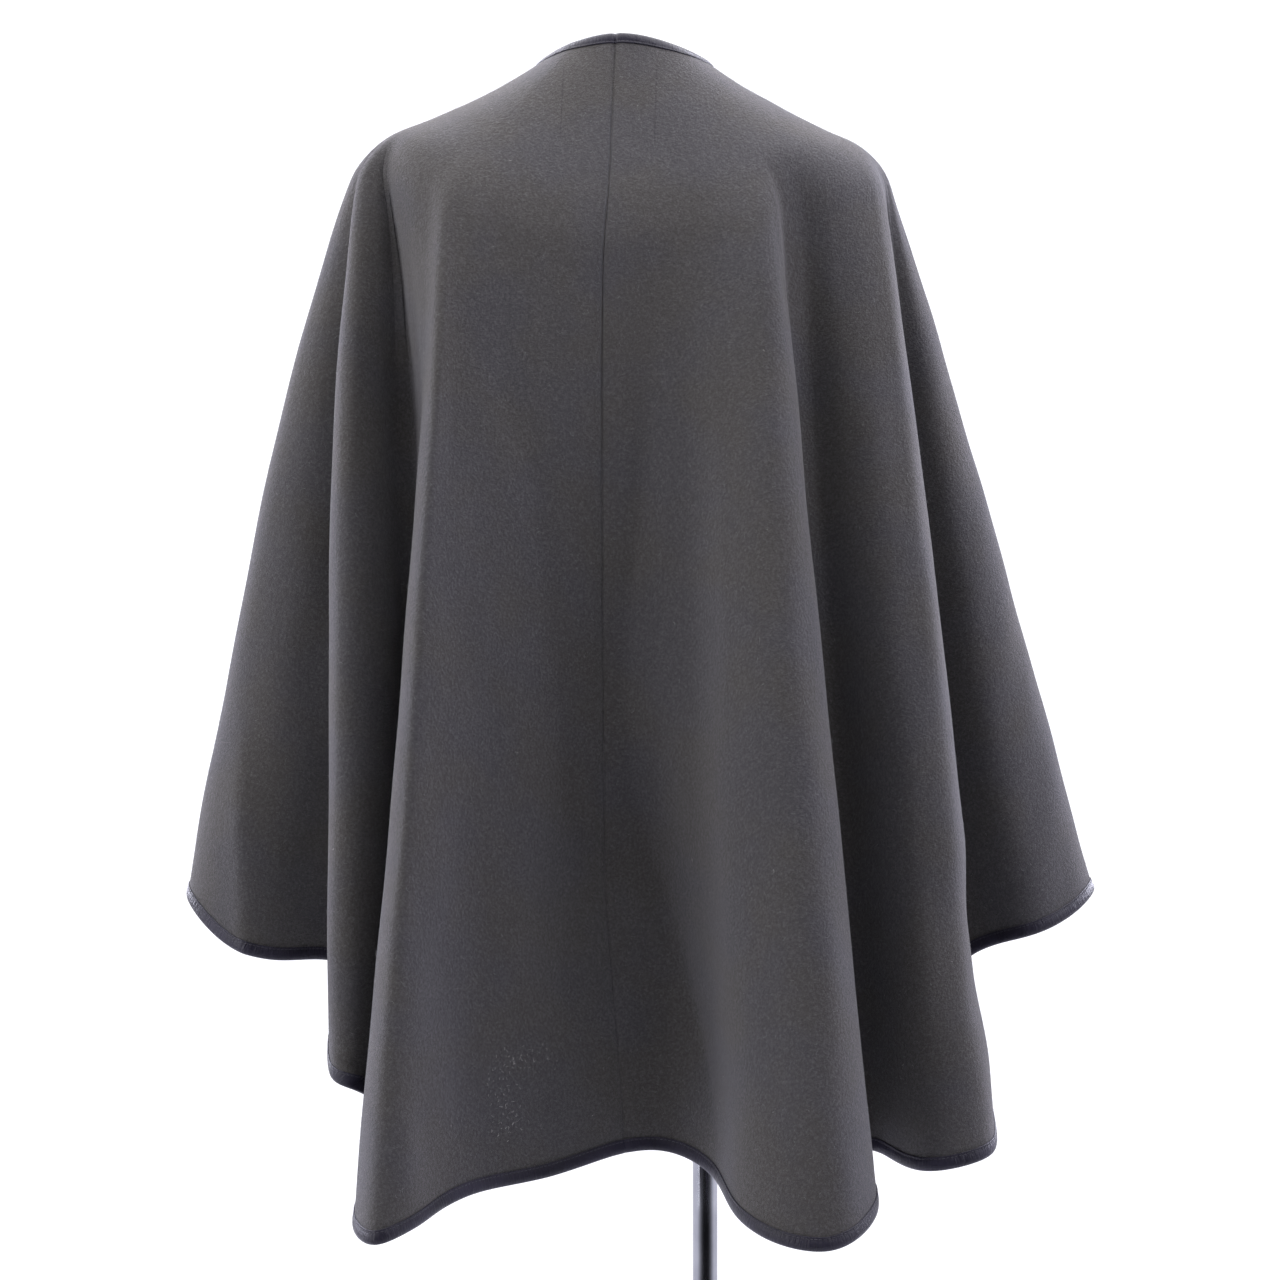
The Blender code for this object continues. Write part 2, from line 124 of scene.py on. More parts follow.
# Rows at the neckline that stay plain, and the rows over which the creases then come in.
PLAIN_ROWS = 3
EASING_ROWS = 12
# The share of its length over which a crease comes in and goes out.
CREASE_FADE = 0.4
# A trough may go this deep where the cloth rests on the form, and where it hangs free it may also
# go this share of the way down from there.
RESTING_DEPTH = 0.2 * MM
FREE_SLOPE = 0.06
# How far back the creases of the rim and of the small fold's flank come in.
RIM_DEPTH = 50 * MM
FLANK_START = -210 * MM
FLANK_DEPTH = 30 * MM

# Soft ridges and, where the rise is negative, troughs. Ends are x across and z up, in millimetres
# from the middle of the neck and from the floor. Width is how far they reach to each side, and
# shape is 2 for a rounded one and 1 for one that is creased along its middle.
CREASES = (
    # name                 side     upper end      lower end     width  rise  shape
    ("blade ridge",        "back",  (-104, 1330),  (-106, 1140), 20,    3.0,  2),
    ("blade trough",       "back",  (-72, 1340),   (-70, 1020),  28,   -5.0,  2),
    ("seam valley",        "back",  (-10, 1370),   (-4, 560),    60,  -21.0,  1),
    ("hollow at the hem",  "back",  (-8, 880),     (78, 500),    38,  -24.0,  1),
    ("right lobe fill",    "back",  (40, 960),     (80, 480),    30,   12.0,  2),
    ("right of the seam",  "back",  (36, 1340),    (30, 760),    36,    6.0,  2),
    ("left of the seam",   "back",  (-30, 1260),   (-40, 420),   36,  -11.0,  2),
    ("left lobe turn",     "back",  (-104, 980),   (-110, 300),  52,   -4.0,  2),
    ("small fold face",    "flank", (-190, 1180),  (-202, 470),  20,   12.0,  2),
    ("left lobe ridge",    "back",  (-158, 600),   (-152, 490),  10,    3.0,  2),
    ("left side ridge",    "back",  (-302, 900),   (-290, 560),  28,   14.0,  1),
    ("left lobe shoulder", "back",  (-186, 1350),  (-166, 1080), 28,    8.0,  2),
    ("left lobe top",      "back",  (-138, 1340),  (-146, 1150), 7,     1.6,  2),
    ("right lobe top",     "back",  (104, 1330),   (112, 1130),  12,    3.0,  2),
    ("right rim dent",     "rim",   (262, 780),    (268, 600),   40,   -6.0,  2),
    ("front left blade",   "front", (-92, 1290),   (-100, 1000), 24,    4.0,  2),
    ("front left hollow",  "front", (-58, 1120),   (-50, 620),   40,   -5.0,  2),
    ("front seam valley",  "front", (-2, 1130),    (4, 700),     46,   -5.0,  1),
    ("front right hollow", "front", (56, 1150),    (60, 680),    36,   -5.0,  2),
    ("front right ridge",  "front", (96, 1270),    (104, 980),   20,    4.0,  2),
    ("front hem ridge",    "front", (-82, 640),    (-96, 530),   10,    4.0,  2),
)

# Two faint dart lines at the nape, in millimetres, drawn as painted shade that darkens the wool.
DART_SHADE_LINES = (
    # x at the top, x at the foot, foot, top
    (-47.7, -49.7, 1320, 1372),
    (25.0, 23.3, 1313, 1372),
)
# Width, fade at the ends and strength of the painted shade along the dart lines.
DART_SHADE_WIDTH = 0.8 * MM
DART_SHADE_FADE = 8 * MM
DART_SHADE_STRENGTH = 0.45

# Slow swells of the cloth, in millimetres, with the turn of the wave that they start at.
SWELL_SLANT = 0.6
SWELLS = (
    # across, down, height, start
    (173, 610, 0.7, 0.4),
    (-97, 340, 0.5, 2.1),
    (61, 197, 0.25, 4.0),
    (-41, 129, 0.15, 1.2),
)

BINDING_COLUMNS = 28
# Half of the binding's section, from the raw edge of the strip to the fold, in millimetres.
BINDING_SECTION = (
    # past the cloth's edge, off the cloth's middle
    (-9.0, 1.05),
    (-9.1, 1.65),
    (-8.7, 1.95),
    (-8.0, 1.9),
    (-7.4, 1.72),
    (-6.8, 1.9),
    (-5.4, 2.3),
    (-3.4, 2.42),
    (-1.4, 2.3),
    (0.0, 1.85),
    (0.8, 1.2),
    (1.15, 0.4),
)
# The stitches' line on that section, in millimetres.
STITCH_LINE = -7.4
STITCH_OFF = 1.85
STITCH = {"Spacing": 3.2 * MM, "Length": 2.5 * MM, "Thickness": 0.5 * MM, "Seed": 3}
# Each stitch and each fibre is drawn at a size between two shares of its own.
STITCH_SIZES = (0.88, 1.08)

# Fine wrinkles of the leather, in millimetres high, with more of them at two places on the hem.
PUCKER_EVERYWHERE = 0.25
PUCKER_HEIGHT = 0.16
PUCKER_BEATS = (31 * MM, 83 * MM)
PUCKER_WAVES = (
    # length of a radian, slant, start, share
    (1.17 * MM, 0.2, 0.0, 1.0),
    (0.73 * MM, 0.35, 2.0, 0.6),
)
HEM_PUCKERS = (
    # along the hem from the centre back, reach
    (0.19, 0.03),
    (3.12, 0.03),
)

# A fibre of length 1 lies along X and bends to one side and up.
FIBRE_BEND = ((-0.5, 0, 0), (0.1, 0.45, 0.3), (0.5, 0, 0.12))
FIBRE_SIZES = (0.5, 1.5)
FIBRE_SIZE_SEED = 7
NAP = {"Density": 5500.0, "Seed": 5, "Length": 2.8 * MM, "Lift": 3.8 * MM, "Radius": 0.05 * MM}
LINT = {"Density": 110000.0, "Seed": 11, "Length": 1.6 * MM, "Lift": 0.7 * MM, "Radius": 0.05 * MM}
ROWS_IN_NECK_BINDING = 2
ROWS_IN_HEM_BINDING = 3
LINT_EVERYWHERE = 0.0006
LINT_BEHIND = -100 * MM
LINT_PATCHES = (
    # x, z, reach across, reach up, in millimetres
    (-84, 612, 13, 7),
    (-64, 613, 9, 4),
    (-91, 588, 6, 18),
    (-84, 566, 6, 9),
)

# The form's neck and the yoke line round the body, clockwise from above, in millimetres.
FORM_LINES = (
    # place              neck x, y, z        yoke x, y, z
    ("centre_back",     (-7, -52, 1408),    (-13, -105, 1250)),
    ("left_blade",      (-36, -38, 1401),   (-137, -88, 1285)),
    ("left_back_tip",   (-52, -16, 1394),   (-188, -50, 1307)),
    ("left_tip",        (-57, 0, 1391),     (-205, -4, 1315)),
    ("left_front_tip",  (-54, 14, 1389),    (-190, 44, 1298)),
    ("left_bust",       (-34, 42, 1384),    (-118, 102, 1182)),
    ("centre_front",    (0, 56, 1378),      (0, 118, 1100)),
    ("right_bust",      (34, 42, 1384),     (118, 102, 1182)),
    ("right_front_tip", (54, 14, 1389),     (188, 44, 1298)),
    ("right_tip",       (57, 0, 1391),      (203, -4, 1308)),
    ("right_back_tip",  (52, -16, 1393),    (186, -50, 1302)),
    ("right_blade",     (34, -40, 1400),    (110, -92, 1283)),
)

# The hem from the centre back seam round the left side to the centre front, in millimetres. Yoke is
# where the line hangs from, counted along FORM_LINES, and bow is how far it bellies out on the way.
LEFT_HEM = (
    # place              x, y, z           yoke  bow x, y
    ("back_seam",        (2, -155, 540), 0.00, (-7, 0)),
    ("back_slope",       (-52, -182, 527), 0.35, (0, 0)),
    ("big_fold_inner",   (-112, -214, 518), 0.74, (0, -4)),
    ("big_fold_turn",    (-152, -257, 501), 0.92, (0, -8)),
    ("big_fold_tip",     (-177, -273, 493), 0.97, (0, -10)),
    ("big_fold_edge",    (-192, -250, 495), 1.02, (1, -8)),
    ("big_fold_back",    (-188, -196, 512), 1.20, (3, 2)),
    ("back_valley",      (-167, -149, 536), 1.76, (17, 8)),
    ("back_valley_floor", (-173, -131, 550), 2.15, (22, 17)),
    ("small_fold_hollow", (-184, -133, 566), 2.27, (13, 15)),
    ("small_fold_inner", (-192, -152, 580), 2.36, (2, 2)),
    ("small_fold_tip",   (-206, -166, 590), 2.45, (-12, -8)),
    ("small_fold_edge",  (-221, -138, 606), 2.52, (-18, -4)),
    ("small_fold_back",  (-212, -88, 634), 2.58, (-15, 0)),
    ("side_valley",      (-200, -50, 654), 2.65, (-12, 4)),
    ("side_valley_floor", (-209, -36, 665), 2.70, (-12, 4)),
    ("side_inner",       (-238, -37, 674), 2.77, (-12, 0)),
    ("side_face",        (-276, -46, 675), 2.88, (-16, 0)),
    ("side_turn",        (-316, -34, 690), 3.00, (-18, 0)),
    ("side_edge",        (-349, 16, 723), 3.12, (-18, 0)),
    ("side_seam",        (-328, 66, 708), 3.26, (-16, 4)),
    ("side_front",       (-288, 92, 686), 3.42, (-12, 8)),
    ("front_side_valley", (-234, 80, 656), 3.58, (-6, 6)),
    ("front_side_floor", (-216, 92, 640), 3.70, (-6, 6)),
    ("front_small_back", (-212, 128, 612), 3.86, (-6, 8)),
    ("front_small_tip",  (-216, 186, 580), 4.08, (-8, 8)),
    ("front_small_inner", (-186, 196, 564), 4.26, (-6, 8)),
    ("front_valley",     (-164, 150, 562), 4.46, (0, 0)),
    ("front_valley_floor", (-148, 136, 556), 4.60, (0, 0)),
    ("front_big_back",   (-130, 182, 542), 4.80, (0, 6)),
    ("front_big_tip",    (-112, 254, 516), 5.00, (0, 10)),
    ("front_big_inner",  (-66, 256, 514), 5.22, (0, 8)),
    ("front_slope",      (-26, 204, 532), 5.56, (0, 4)),
    ("front_seam",       (4, 172, 548), 6.00, (0, 2)),
)
RIGHT_HEM = (
    # place              x, y, z           yoke   bow x, y
    ("back_seam",        (2, -155, 540), 12.00, (-7, 0)),
    ("back_hollow",      (26, -150, 541), 11.80, (-2, 0)),
    ("big_fold_inner",   (62, -172, 529), 11.58, (0, 0)),
    ("big_fold_rise",    (82, -232, 508), 11.38, (2, -4)),
    ("big_fold_turn",    (110, -272, 494), 11.24, (4, -8)),
    ("big_fold_tip",     (147, -286, 491), 11.14, (5, -10)),
    ("big_fold_edge",    (178, -256, 504), 11.07, (6, -8)),
    ("big_fold_back",    (176, -196, 524), 11.00, (6, 0)),
    ("back_valley_floor", (172, -132, 536), 10.88, (0, 12)),
    ("back_valley",      (182, -128, 538), 10.72, (0, 14)),
    ("small_fold_inner", (206, -150, 532), 10.42, (2, 0)),
    ("small_fold_turn",  (236, -180, 531), 10.16, (4, -4)),
    ("small_fold_tip",   (264, -176, 537), 9.94, (8, -6)),
    ("small_fold_edge",  (281, -132, 549), 9.76, (9, -4)),
    ("small_fold_back",  (266, -66, 592), 9.56, (6, 0)),
    ("side_valley",      (249, -30, 630), 9.44, (4, 4)),
    ("side_valley_floor", (255, -14, 652), 9.34, (4, 4)),
    ("side_inner",       (274, -14, 674), 9.23, (4, 0)),
    ("side_face",        (318, -34, 692), 9.12, (6, 0)),
    ("side_turn",        (356, -14, 708), 9.00, (6, 0)),
    ("side_edge",        (377, 26, 724), 8.88, (6, 0)),
    ("side_seam",        (356, 70, 710), 8.74, (6, 4)),
    ("side_front",       (308, 94, 690), 8.58, (6, 8)),
    ("front_side_valley", (254, 80, 662), 8.42, (4, 6)),
    ("front_side_floor", (238, 92, 646), 8.30, (4, 6)),
    ("front_small_back", (236, 126, 612), 8.14, (4, 8)),
    ("front_small_tip",  (232, 184, 580), 7.92, (6, 8)),
    ("front_small_inner", (196, 182, 566), 7.72, (4, 8)),
    ("front_valley",     (168, 138, 562), 7.46, (0, 0)),
    ("front_valley_floor", (150, 140, 554), 7.30, (0, 0)),
    ("front_big_back",   (148, 196, 538), 7.16, (0, 6)),
    ("front_big_tip",    (118, 262, 515), 6.98, (0, 10)),
    ("front_big_inner",  (70, 252, 518), 6.72, (0, 8)),
    ("front_slope",      (34, 196, 538), 6.36, (0, 4)),
)

# The form below the yoke line, in millimetres: half width, depth behind and depth in front.
TORSO_SECTIONS = (
    # height  half width  behind  in front
    (1300, 176, 96, 84),
    (1210, 168, 98, 100),
    (1150, 156, 96, 108),
    (1080, 144, 90, 106),
    (1000, 120, 80, 92),
    (930, 136, 92, 92),
    (850, 160, 106, 98),
    (800, 158, 104, 96),
)
FORM_COLUMNS = 60
FORM_CAP_SHARES = (0.22, 0.42, 0.62)
FRONT_EASE = 1.5 * MM
FRONT_EASE_REACH = 40 * MM
# The form is this much slimmer than its solid under the shoulders, clear of the rolled seam edges.
ROLL_EASE = 0.6 * MM
FORM_BEND_SHARE = 0.06
FORM_TORSO_ROWS = 8
FORM_NECK_EDGE = 12 * MM
NECK_FOOT = 1389 * MM
NECK_FOOT_RADIUS = 36 * MM
FORM_TOP = 1396 * MM
NECK_TOP_RADIUS = 33 * MM
FORM_BOTTOM = 792 * MM
FORM_BOTTOM_SHARE = 0.82

POLE_RADIUS = 10 * MM
BASE_RADIUS = 170 * MM
BASE_THICKNESS = 9 * MM
BASE_EDGE = 3 * MM
SOCKET_RADIUS = 19 * MM
SOCKET_HEIGHT = 34 * MM
POLE_EDGE = 0.5 * MM
TURNED_STEPS = 96
TURNED_MERGE = 0.05 * MM


def spline_bends(points):
    """Chord lengths and second derivatives of the closed cubic spline through the points."""
    chord = np.linalg.norm(np.roll(points, -1, 0) - points, axis=1)
    before = np.roll(chord, 1)
    count = len(points)
    system = np.zeros((count, count))
    index = np.arange(count)
    system[index, (index - 1) % count] = before
    system[index, index] = 2 * (before + chord)
    system[index, (index + 1) % count] = chord
    slope = (np.roll(points, -1, 0) - points) / chord[:, None]
    return chord, np.linalg.solve(system, 6 * (slope - np.roll(slope, 1, 0)))


def on_spline(points, positions):
    """Points of the closed spline at positions in rows, such as 2.5 between rows 2 and 3."""
    chord, bend = spline_bends(points)
    row = np.floor(positions).astype(int)
    t = (positions - row)[:, None]
    first = row % len(points)
    second = (row + 1) % len(points)
    scale = (chord[first] ** 2 / 6)[:, None]
    start = points[first] - scale * bend[first]
    end = points[second] - scale * bend[second]
    cubic = scale * (bend[first] * (1 - t) ** 3 + bend[second] * t**3)
    return start * (1 - t) + end * t + cubic


def eased(values, positions, whole=0.0):
    """A column of the hem table between its rows, with no overshoot.

    Whole is its rise in one round.
    """
    count = len(values)
    after = np.vstack([values[1:], values[:1] + whole])
    step = after - values
    previous = np.roll(step, 1, 0)
    total = step + previous
    safe = np.where(np.abs(total) < 1e-9, 1.0, total)
    slope = np.where(step * previous > 0, 2 * step * previous / safe, 0.0)
    row = np.floor(positions).astype(int) % count
    t = (positions - np.floor(positions))[:, None]
    rise, fall = slope[row], slope[(row + 1) % count]
    hermite = (t**3 - 2 * t**2 + t) * rise + (t**3 - t**2) * fall
    return values[row] + (3 * t**2 - 2 * t**3) * step[row] + hermite


def hem_rows():
    """The hem table in one round: the left side forwards, then the right side backwards."""
    return LEFT_HEM + tuple(reversed(RIGHT_HEM[1:]))


def seam_rows():
    """The rows of the round at the centre back, left side, centre front and right side seams."""
    names = [row[0] for row in hem_rows()]
    sides = [i for i, name in enumerate(names) if name == "side_seam"]
    return (0, sides[0], names.index("front_seam"), sides[1])


def unit(vectors):
    """The vectors scaled to a length of 1."""
    return vectors / np.linalg.norm(vectors, axis=-1, keepdims=True)


def cap_lines(place):
    """The form's neck and yoke points at each place round it."""
    neck = np.array([row[1] for row in FORM_LINES], float) * MM
    yoke = np.array([row[2] for row in FORM_LINES], float) * MM
    return on_spline(neck, place), on_spline(yoke, place)


def on_cap(neck, yoke, share):
    """Points between neck and yoke, dipped where the shoulder runs into the neck."""
    share = np.asarray(share)[..., None]
    # The curve's highest value is 4/27, a third of the way down.
    dip = NECK_DIP * 27 / 4 * share * (1 - share) ** 2
    return neck + share * (yoke - neck) - dip * np.array([0, 0, 1])


def neckline_share(neck, yoke):
    """How far down each line the neckline is cut: a round back and a straight-edged V in front."""
    length = np.linalg.norm(yoke - neck, axis=1)
    lean = V_NECK_HALF_WIDTH / (V_NECK_TOP - V_NECK_BOTTOM)
    spread = np.abs(yoke[:, 0]) - np.abs(neck[:, 0])
    fall = lean * (yoke[:, 2] - neck[:, 2])
    cut = (lean * (neck[:, 2] - V_NECK_BOTTOM) - np.abs(neck[:, 0])) / (spread - fall)
    in_front = yoke[:, 1] > 0
    return np.where(in_front, np.maximum(cut, NECK_EDGE / length), NECK_EDGE / length)


def inset(edge, beside, width):
    """Points inside the cloth at a distance from its edge, with mitred corners, and the way there.

    Beside holds a point of the cloth next to each edge point.
    """
    along = unit(np.roll(edge, -1, 0) - edge)
    arriving = np.roll(along, 1, 0)
    tangent = unit(along + arriving)
    inward = beside - edge
    inward = unit(inward - (inward * tangent).sum(1)[:, None] * tangent)
    mitre = np.sqrt((1 + (along * arriving).sum(1)) / 2)
    return edge + inward * (width / np.maximum(mitre, SHARPEST_MITRE))[:, None], inward


def bellied(yoke, hem, bow, share):
    """Hanging lines from yoke to hem, bellied out soonest just under the yoke."""
    # The curve is scaled to 1 where it is widest, a third of the way down.
    belly = 1.5 * math.sqrt(3 * share) * (1 - share)
    sideways = np.column_stack([bow, np.zeros(len(bow))])
    return yoke + share * (hem - yoke) + belly * sideways


def ring_positions(per_row):
    """Columns round the hem table, closer together beside the seams."""
    rows = len(hem_rows())
    even = np.arange(rows * per_row) / per_row
    close = [seam + way * step for seam in seam_rows() for way in (-1, 1) for step in SEAM_STEPS]
    return np.unique(np.round(np.append(even, np.array(close) % rows), 4))


def draped_lines(position):
    """Rows of points down the middle of the uncreased cloth, from the neckline to the hem."""
    rows = hem_rows()
    hem = on_spline(np.array([row[1] for row in rows], float) * MM, position)
    place = eased(np.array([[row[2]] for row in rows]), position, len(FORM_LINES))[:, 0]
    bow = eased(np.array([row[3] for row in rows], float) * MM, position)
    neck, yoke = cap_lines(place)
    start = neckline_share(neck, yoke)
    end = 1 - SHOULDER_BEND / np.linalg.norm(yoke - neck, axis=1)

    edge = on_cap(neck, yoke, start)
    bound, _ = inset(edge, on_cap(neck, yoke, start + NEXT_SHARE), NECK_BINDING)
    bend_start = on_cap(neck, yoke, end)
    leaving = unit(bend_start - on_cap(neck, yoke, end - NEXT_SHARE))
    bend_share = SHOULDER_BEND / HANGING_LENGTH
    bend_end = bellied(yoke, hem, bow, bend_share)
    falling = unit(bellied(yoke, hem, bow, bend_share + NEXT_SHARE) - bend_end)

    grid = [edge]
    for share in np.linspace(0, 1, CAP_ROWS, endpoint=False):
        on_line = on_cap(neck, yoke, start + share * (end - start))
        grid.append(on_line + (1 - share) * (bound - edge))
    handle = BEND_HANDLE * SHOULDER_BEND
    for t in np.linspace(0, 1, BEND_ROWS, endpoint=False):
        grid.append(
            (1 - t) ** 3 * bend_start
            + 3 * t * (1 - t) ** 2 * (bend_start + handle * leaving)
            + 3 * t**2 * (1 - t) * (bend_end - handle * falling)
            + t**3 * bend_end
        )
    for share in np.linspace(bend_share, LAST_HANG_ROW, HANG_ROWS):
        grid.append(bellied(yoke, hem, bow, share))
    grid.append(inset(hem, grid[-1], HEM_BINDING)[0])
    grid.append(hem)
    return np.array(grid)


def grid_normals(grid):
    """Outward unit normals of a grid that closes on itself from side to side."""
    across = np.roll(grid, -1, 1) - np.roll(grid, 1, 1)
    down = np.gradient(grid, axis=0)
    return unit(np.cross(across, down))


def smooth_step(value):
    """A smooth rise from 0 to 1 as the value goes from 0 to 1."""
    value = np.clip(value, 0, 1)
    return value * value * (3 - 2 * value)


def crease_push(grid, normals):
    """How far each point is pushed out by the soft ridges and troughs of CREASES."""
    across, height = grid[..., 0] / MM, grid[..., 2] / MM
    push = np.zeros(across.shape)
    behind, ahead = (smooth_step(way * 2 * normals[..., 1]) for way in (-1, 1))
    facing = {
        "front": ahead,
        "back": behind,
        "rim": smooth_step(-grid[..., 1] / RIM_DEPTH),
        "flank": behind * smooth_step((grid[..., 1] - FLANK_START) / FLANK_DEPTH),
    }
    for _, side, top, foot, width, rise, shape in CREASES:
        run, fall = foot[0] - top[0], foot[1] - top[1]
        along = ((across - top[0]) * run + (height - top[1]) * fall) / (run**2 + fall**2)
        along = np.clip(along, 0, 1)
        away = np.hypot(across - top[0] - along * run, height - top[1] - along * fall)
        ends = smooth_step(along / CREASE_FADE) * smooth_step((1 - along) / CREASE_FADE)
        push += rise * MM * np.exp(-((away / width) ** shape)) * facing[side] * ends
    return push


def swell_push(grid):
    """Slow swells of the thick cloth, so that no stretch of it is quite flat."""
    x, y, z = (grid[..., i] / MM for i in range(3))
    push = np.zeros(x.shape)
    for across, down, rise, start in SWELLS:
        wave = (x + SWELL_SLANT * y) / across + z / down
        push += rise * MM * np.sin(2 * np.pi * wave + start)
    return push


def shaped_cloth(position):
    """The draped lines with their creases, swells and the roll of the cloth into each seam."""
    grid = draped_lines(position)
    normals = grid_normals(grid)
    below_neck = smooth_step((np.arange(len(grid)) - PLAIN_ROWS) / EASING_ROWS)[:, None]
    push = (crease_push(grid, normals) + swell_push(grid)) * below_neck
    rests = CAP_ROWS + BEND_ROWS
    drop = np.linalg.norm(grid - grid[rests], axis=2) * (np.arange(len(grid)) > rests)[:, None]
    push = np.maximum(push, -RESTING_DEPTH - FREE_SLOPE * drop)
    for seam in seam_rows():
        column = int(np.argmin(np.abs(position - seam)))
        away = np.linalg.norm(grid - grid[:, column : column + 1], axis=2)
        push -= SEAM_ROLL * np.exp(-((away / SEAM_SOFT) ** 2))
    grid = grid + push[..., None] * normals
    return grid, grid_normals(grid)


def new_object(name, data):
    """An object of a mesh, light or camera, in the scene."""
    made = bpy.data.objects.new(name, data)
    bpy.context.scene.collection.objects.link(made)
    return made


def smooth_mesh(name, points, faces, made_of):
    """A closed mesh in the part's frame, from points counted from the middle of the neck."""
    mesh = bpy.data.meshes.new(name)
    mesh.from_pydata((np.asarray(points) + (BODY_X, 0, 0)).tolist(), [], faces)
    mesh.materials.append(made_of)
    mesh.shade_smooth()
    mesh.set_sharp_from_angle(angle=math.radians(CLOTH_SHARP))
    return new_object(name, mesh)


def quads(first, second):
    """Faces between two rows of point numbers, facing out where the rows run clockwise and down."""
    return np.stack([first[:-1], first[1:], second[1:], second[:-1]], -1).reshape(-1, 4).tolist()


def cloth_panel(name, grid, normals, first, last, made_of):
    """One panel of cloth between two seam columns: both faces and the edges round them."""
    columns = np.arange(first, last + 1) % grid.shape[1]
    middle, out = grid[:, columns].copy(), normals[:, columns]
    for seam, neighbour in ((0, 1), (-1, -2)):
        away = unit(middle[:, neighbour] - middle[:, seam])
        middle[:, seam] += away * SEAM_GAP / 2
    rows, width = middle.shape[:2]
    outer = np.arange(rows * width).reshape(rows, width)
    inner = outer + rows * width
    faces = []
    for upper in range(rows - 1):
        faces += quads(outer[upper], outer[upper + 1])
        faces += quads(inner[upper + 1], inner[upper])
    faces += quads(inner[0], outer[0]) + quads(outer[-1], inner[-1])
    faces += quads(outer[:, 0], inner[:, 0]) + quads(inner[:, -1], outer[:, -1])
    points = np.concatenate([middle + out * CLOTH / 2, middle - out * CLOTH / 2]).reshape(-1, 3)
    return smooth_mesh(name, points, faces, made_of)


def beside_edge(edge, inside, edge_out, inside_out, width, past, off):
    """Points that follow the cloth's edge: past it, or back over it where past is negative."""
    back = np.clip(-past * MM / width, 0, 1)
    base = edge + (inside - edge) * back
    if past > 0:
        base = base + unit(edge - inside) * past * MM
    out = unit(edge_out + (inside_out - edge_out) * back)
    return base + out * np.asarray(off)[..., None] * MM


def pucker(length, past, places):
    """Fine wrinkles across the leather, in millimetres, with more of them at some places."""
    strength = np.full(len(length), PUCKER_EVERYWHERE)
    for centre, reach in places:
        strength += np.exp(-(((length - centre) / reach) ** 2))
    short, long = PUCKER_BEATS
    beat = 0.6 + 0.4 * np.sin(length / short + 1.3) * np.sin(length / long)
    waves = sum(
        share * np.sin(length / radian + start + slant * past)
        for radian, slant, start, share in PUCKER_WAVES
    )
    return strength * beat * waves * PUCKER_HEIGHT


def binding(name, rows, width, places, made_of):
    """Leather folded over the cloth's edge, and the two lines that its stitches follow.

    Rows are the cloth's edge, the row inside it, and their normals, clockwise with the edge below.
    """
    edge, inside, edge_out, inside_out = rows
    step = np.linalg.norm(np.roll(edge, -1, 0) - edge, axis=1)
    length = np.concatenate([[0], np.cumsum(step)])[:-1]
    scale = width / HEM_BINDING
    half = [(past * (scale if past < 0 else 1), off) for past, off in BINDING_SECTION]
    section = half + [(past, -off) for past, off in reversed(half)]
    rings = []
    for past, off in section:
        shallow = np.clip(-past / 2, 0, 1) * np.sign(off)
        swell = pucker(length, past, places) * shallow
        rings.append(beside_edge(edge, inside, edge_out, inside_out, width, past, off + swell))
    count = len(edge)
    around = np.append(np.arange(count), 0)
    faces = []
    for ring in range(len(section)):
        faces += quads(around + ring * count, around + (ring + 1) % len(section) * count)
    made = smooth_mesh(name, np.concatenate(rings), faces, made_of)

    # U runs along the strip and V across it, both in metres.
    layer = made.data.uv_layers.new(name="strip")
    across = np.cumsum([0] + [math.dist(a, b) for a, b in zip(section, section[1:])]) * MM
    corner = np.empty(len(made.data.loops), int)
    made.data.loops.foreach_get("vertex_index", corner)
    along, ring = length[corner % count], corner // count
    # The second and third corners of a face that closes the ring lie at the strip's far end.
    closing = (corner % count == 0) & np.isin(np.arange(len(corner)) % 4, (1, 2))
    along = np.where(closing, length[-1] + step[-1], along)
    coordinates = np.stack([along, across[ring]], -1)
    layer.data.foreach_set("uv", coordinates.ravel())
    line = STITCH_LINE * scale
    paths = []
    for side in (1, -1):
        off = np.full(count, side * STITCH_OFF)
        paths.append(beside_edge(edge, inside, edge_out, inside_out, width, line, off))
    return made, paths


def node(tree, kind, inputs=(), **settings):
    """Adds a node. Inputs are pairs of a socket's name or number and a value, a socket or a node.

    A node stands for its first output.
    """
    made = tree.nodes.new(kind)
    for key, value in settings.items():
        setattr(made, key, value)
    for key, value in inputs:
        source = value.outputs[0] if isinstance(value, bpy.types.Node) else value
        if isinstance(source, bpy.types.NodeSocket):
            tree.links.new(source, made.inputs[key])
        else:
            made.inputs[key].default_value = source
    return made


def linear(colour):
    """An sRGB hex colour as linear red, green, blue and alpha."""
    parts = [int(colour[i : i + 2], 16) / 255 for i in (1, 3, 5)]
    return (*[p / 12.92 if p <= 0.04045 else ((p + 0.055) / 1.055) ** 2.4 for p in parts], 1.0)


def new_material(name):
    """A bare material, its node tree and the place on the piece that its patterns read."""
    made = bpy.data.materials.new(name)
    made.use_nodes = True
    tree = made.node_tree
    tree.nodes.clear()
    return made, tree, node(tree, "ShaderNodeTexCoord").outputs["Object"]


def blend(tree, factor, first, second, low=0.3, high=0.7):
    """Two colours, hex or sockets, mixed by a factor that runs from low to high."""
    share = node(tree, "ShaderNodeMapRange", [
        ("Value", factor), ("From Min", low), ("From Max", high),
    ])
    first, second = (linear(c) if isinstance(c, str) else c for c in (first, second))
    return node(tree, "ShaderNodeMix", [
        ("Factor", share), (6, first), (7, second),
    ], data_type="RGBA").outputs[2]


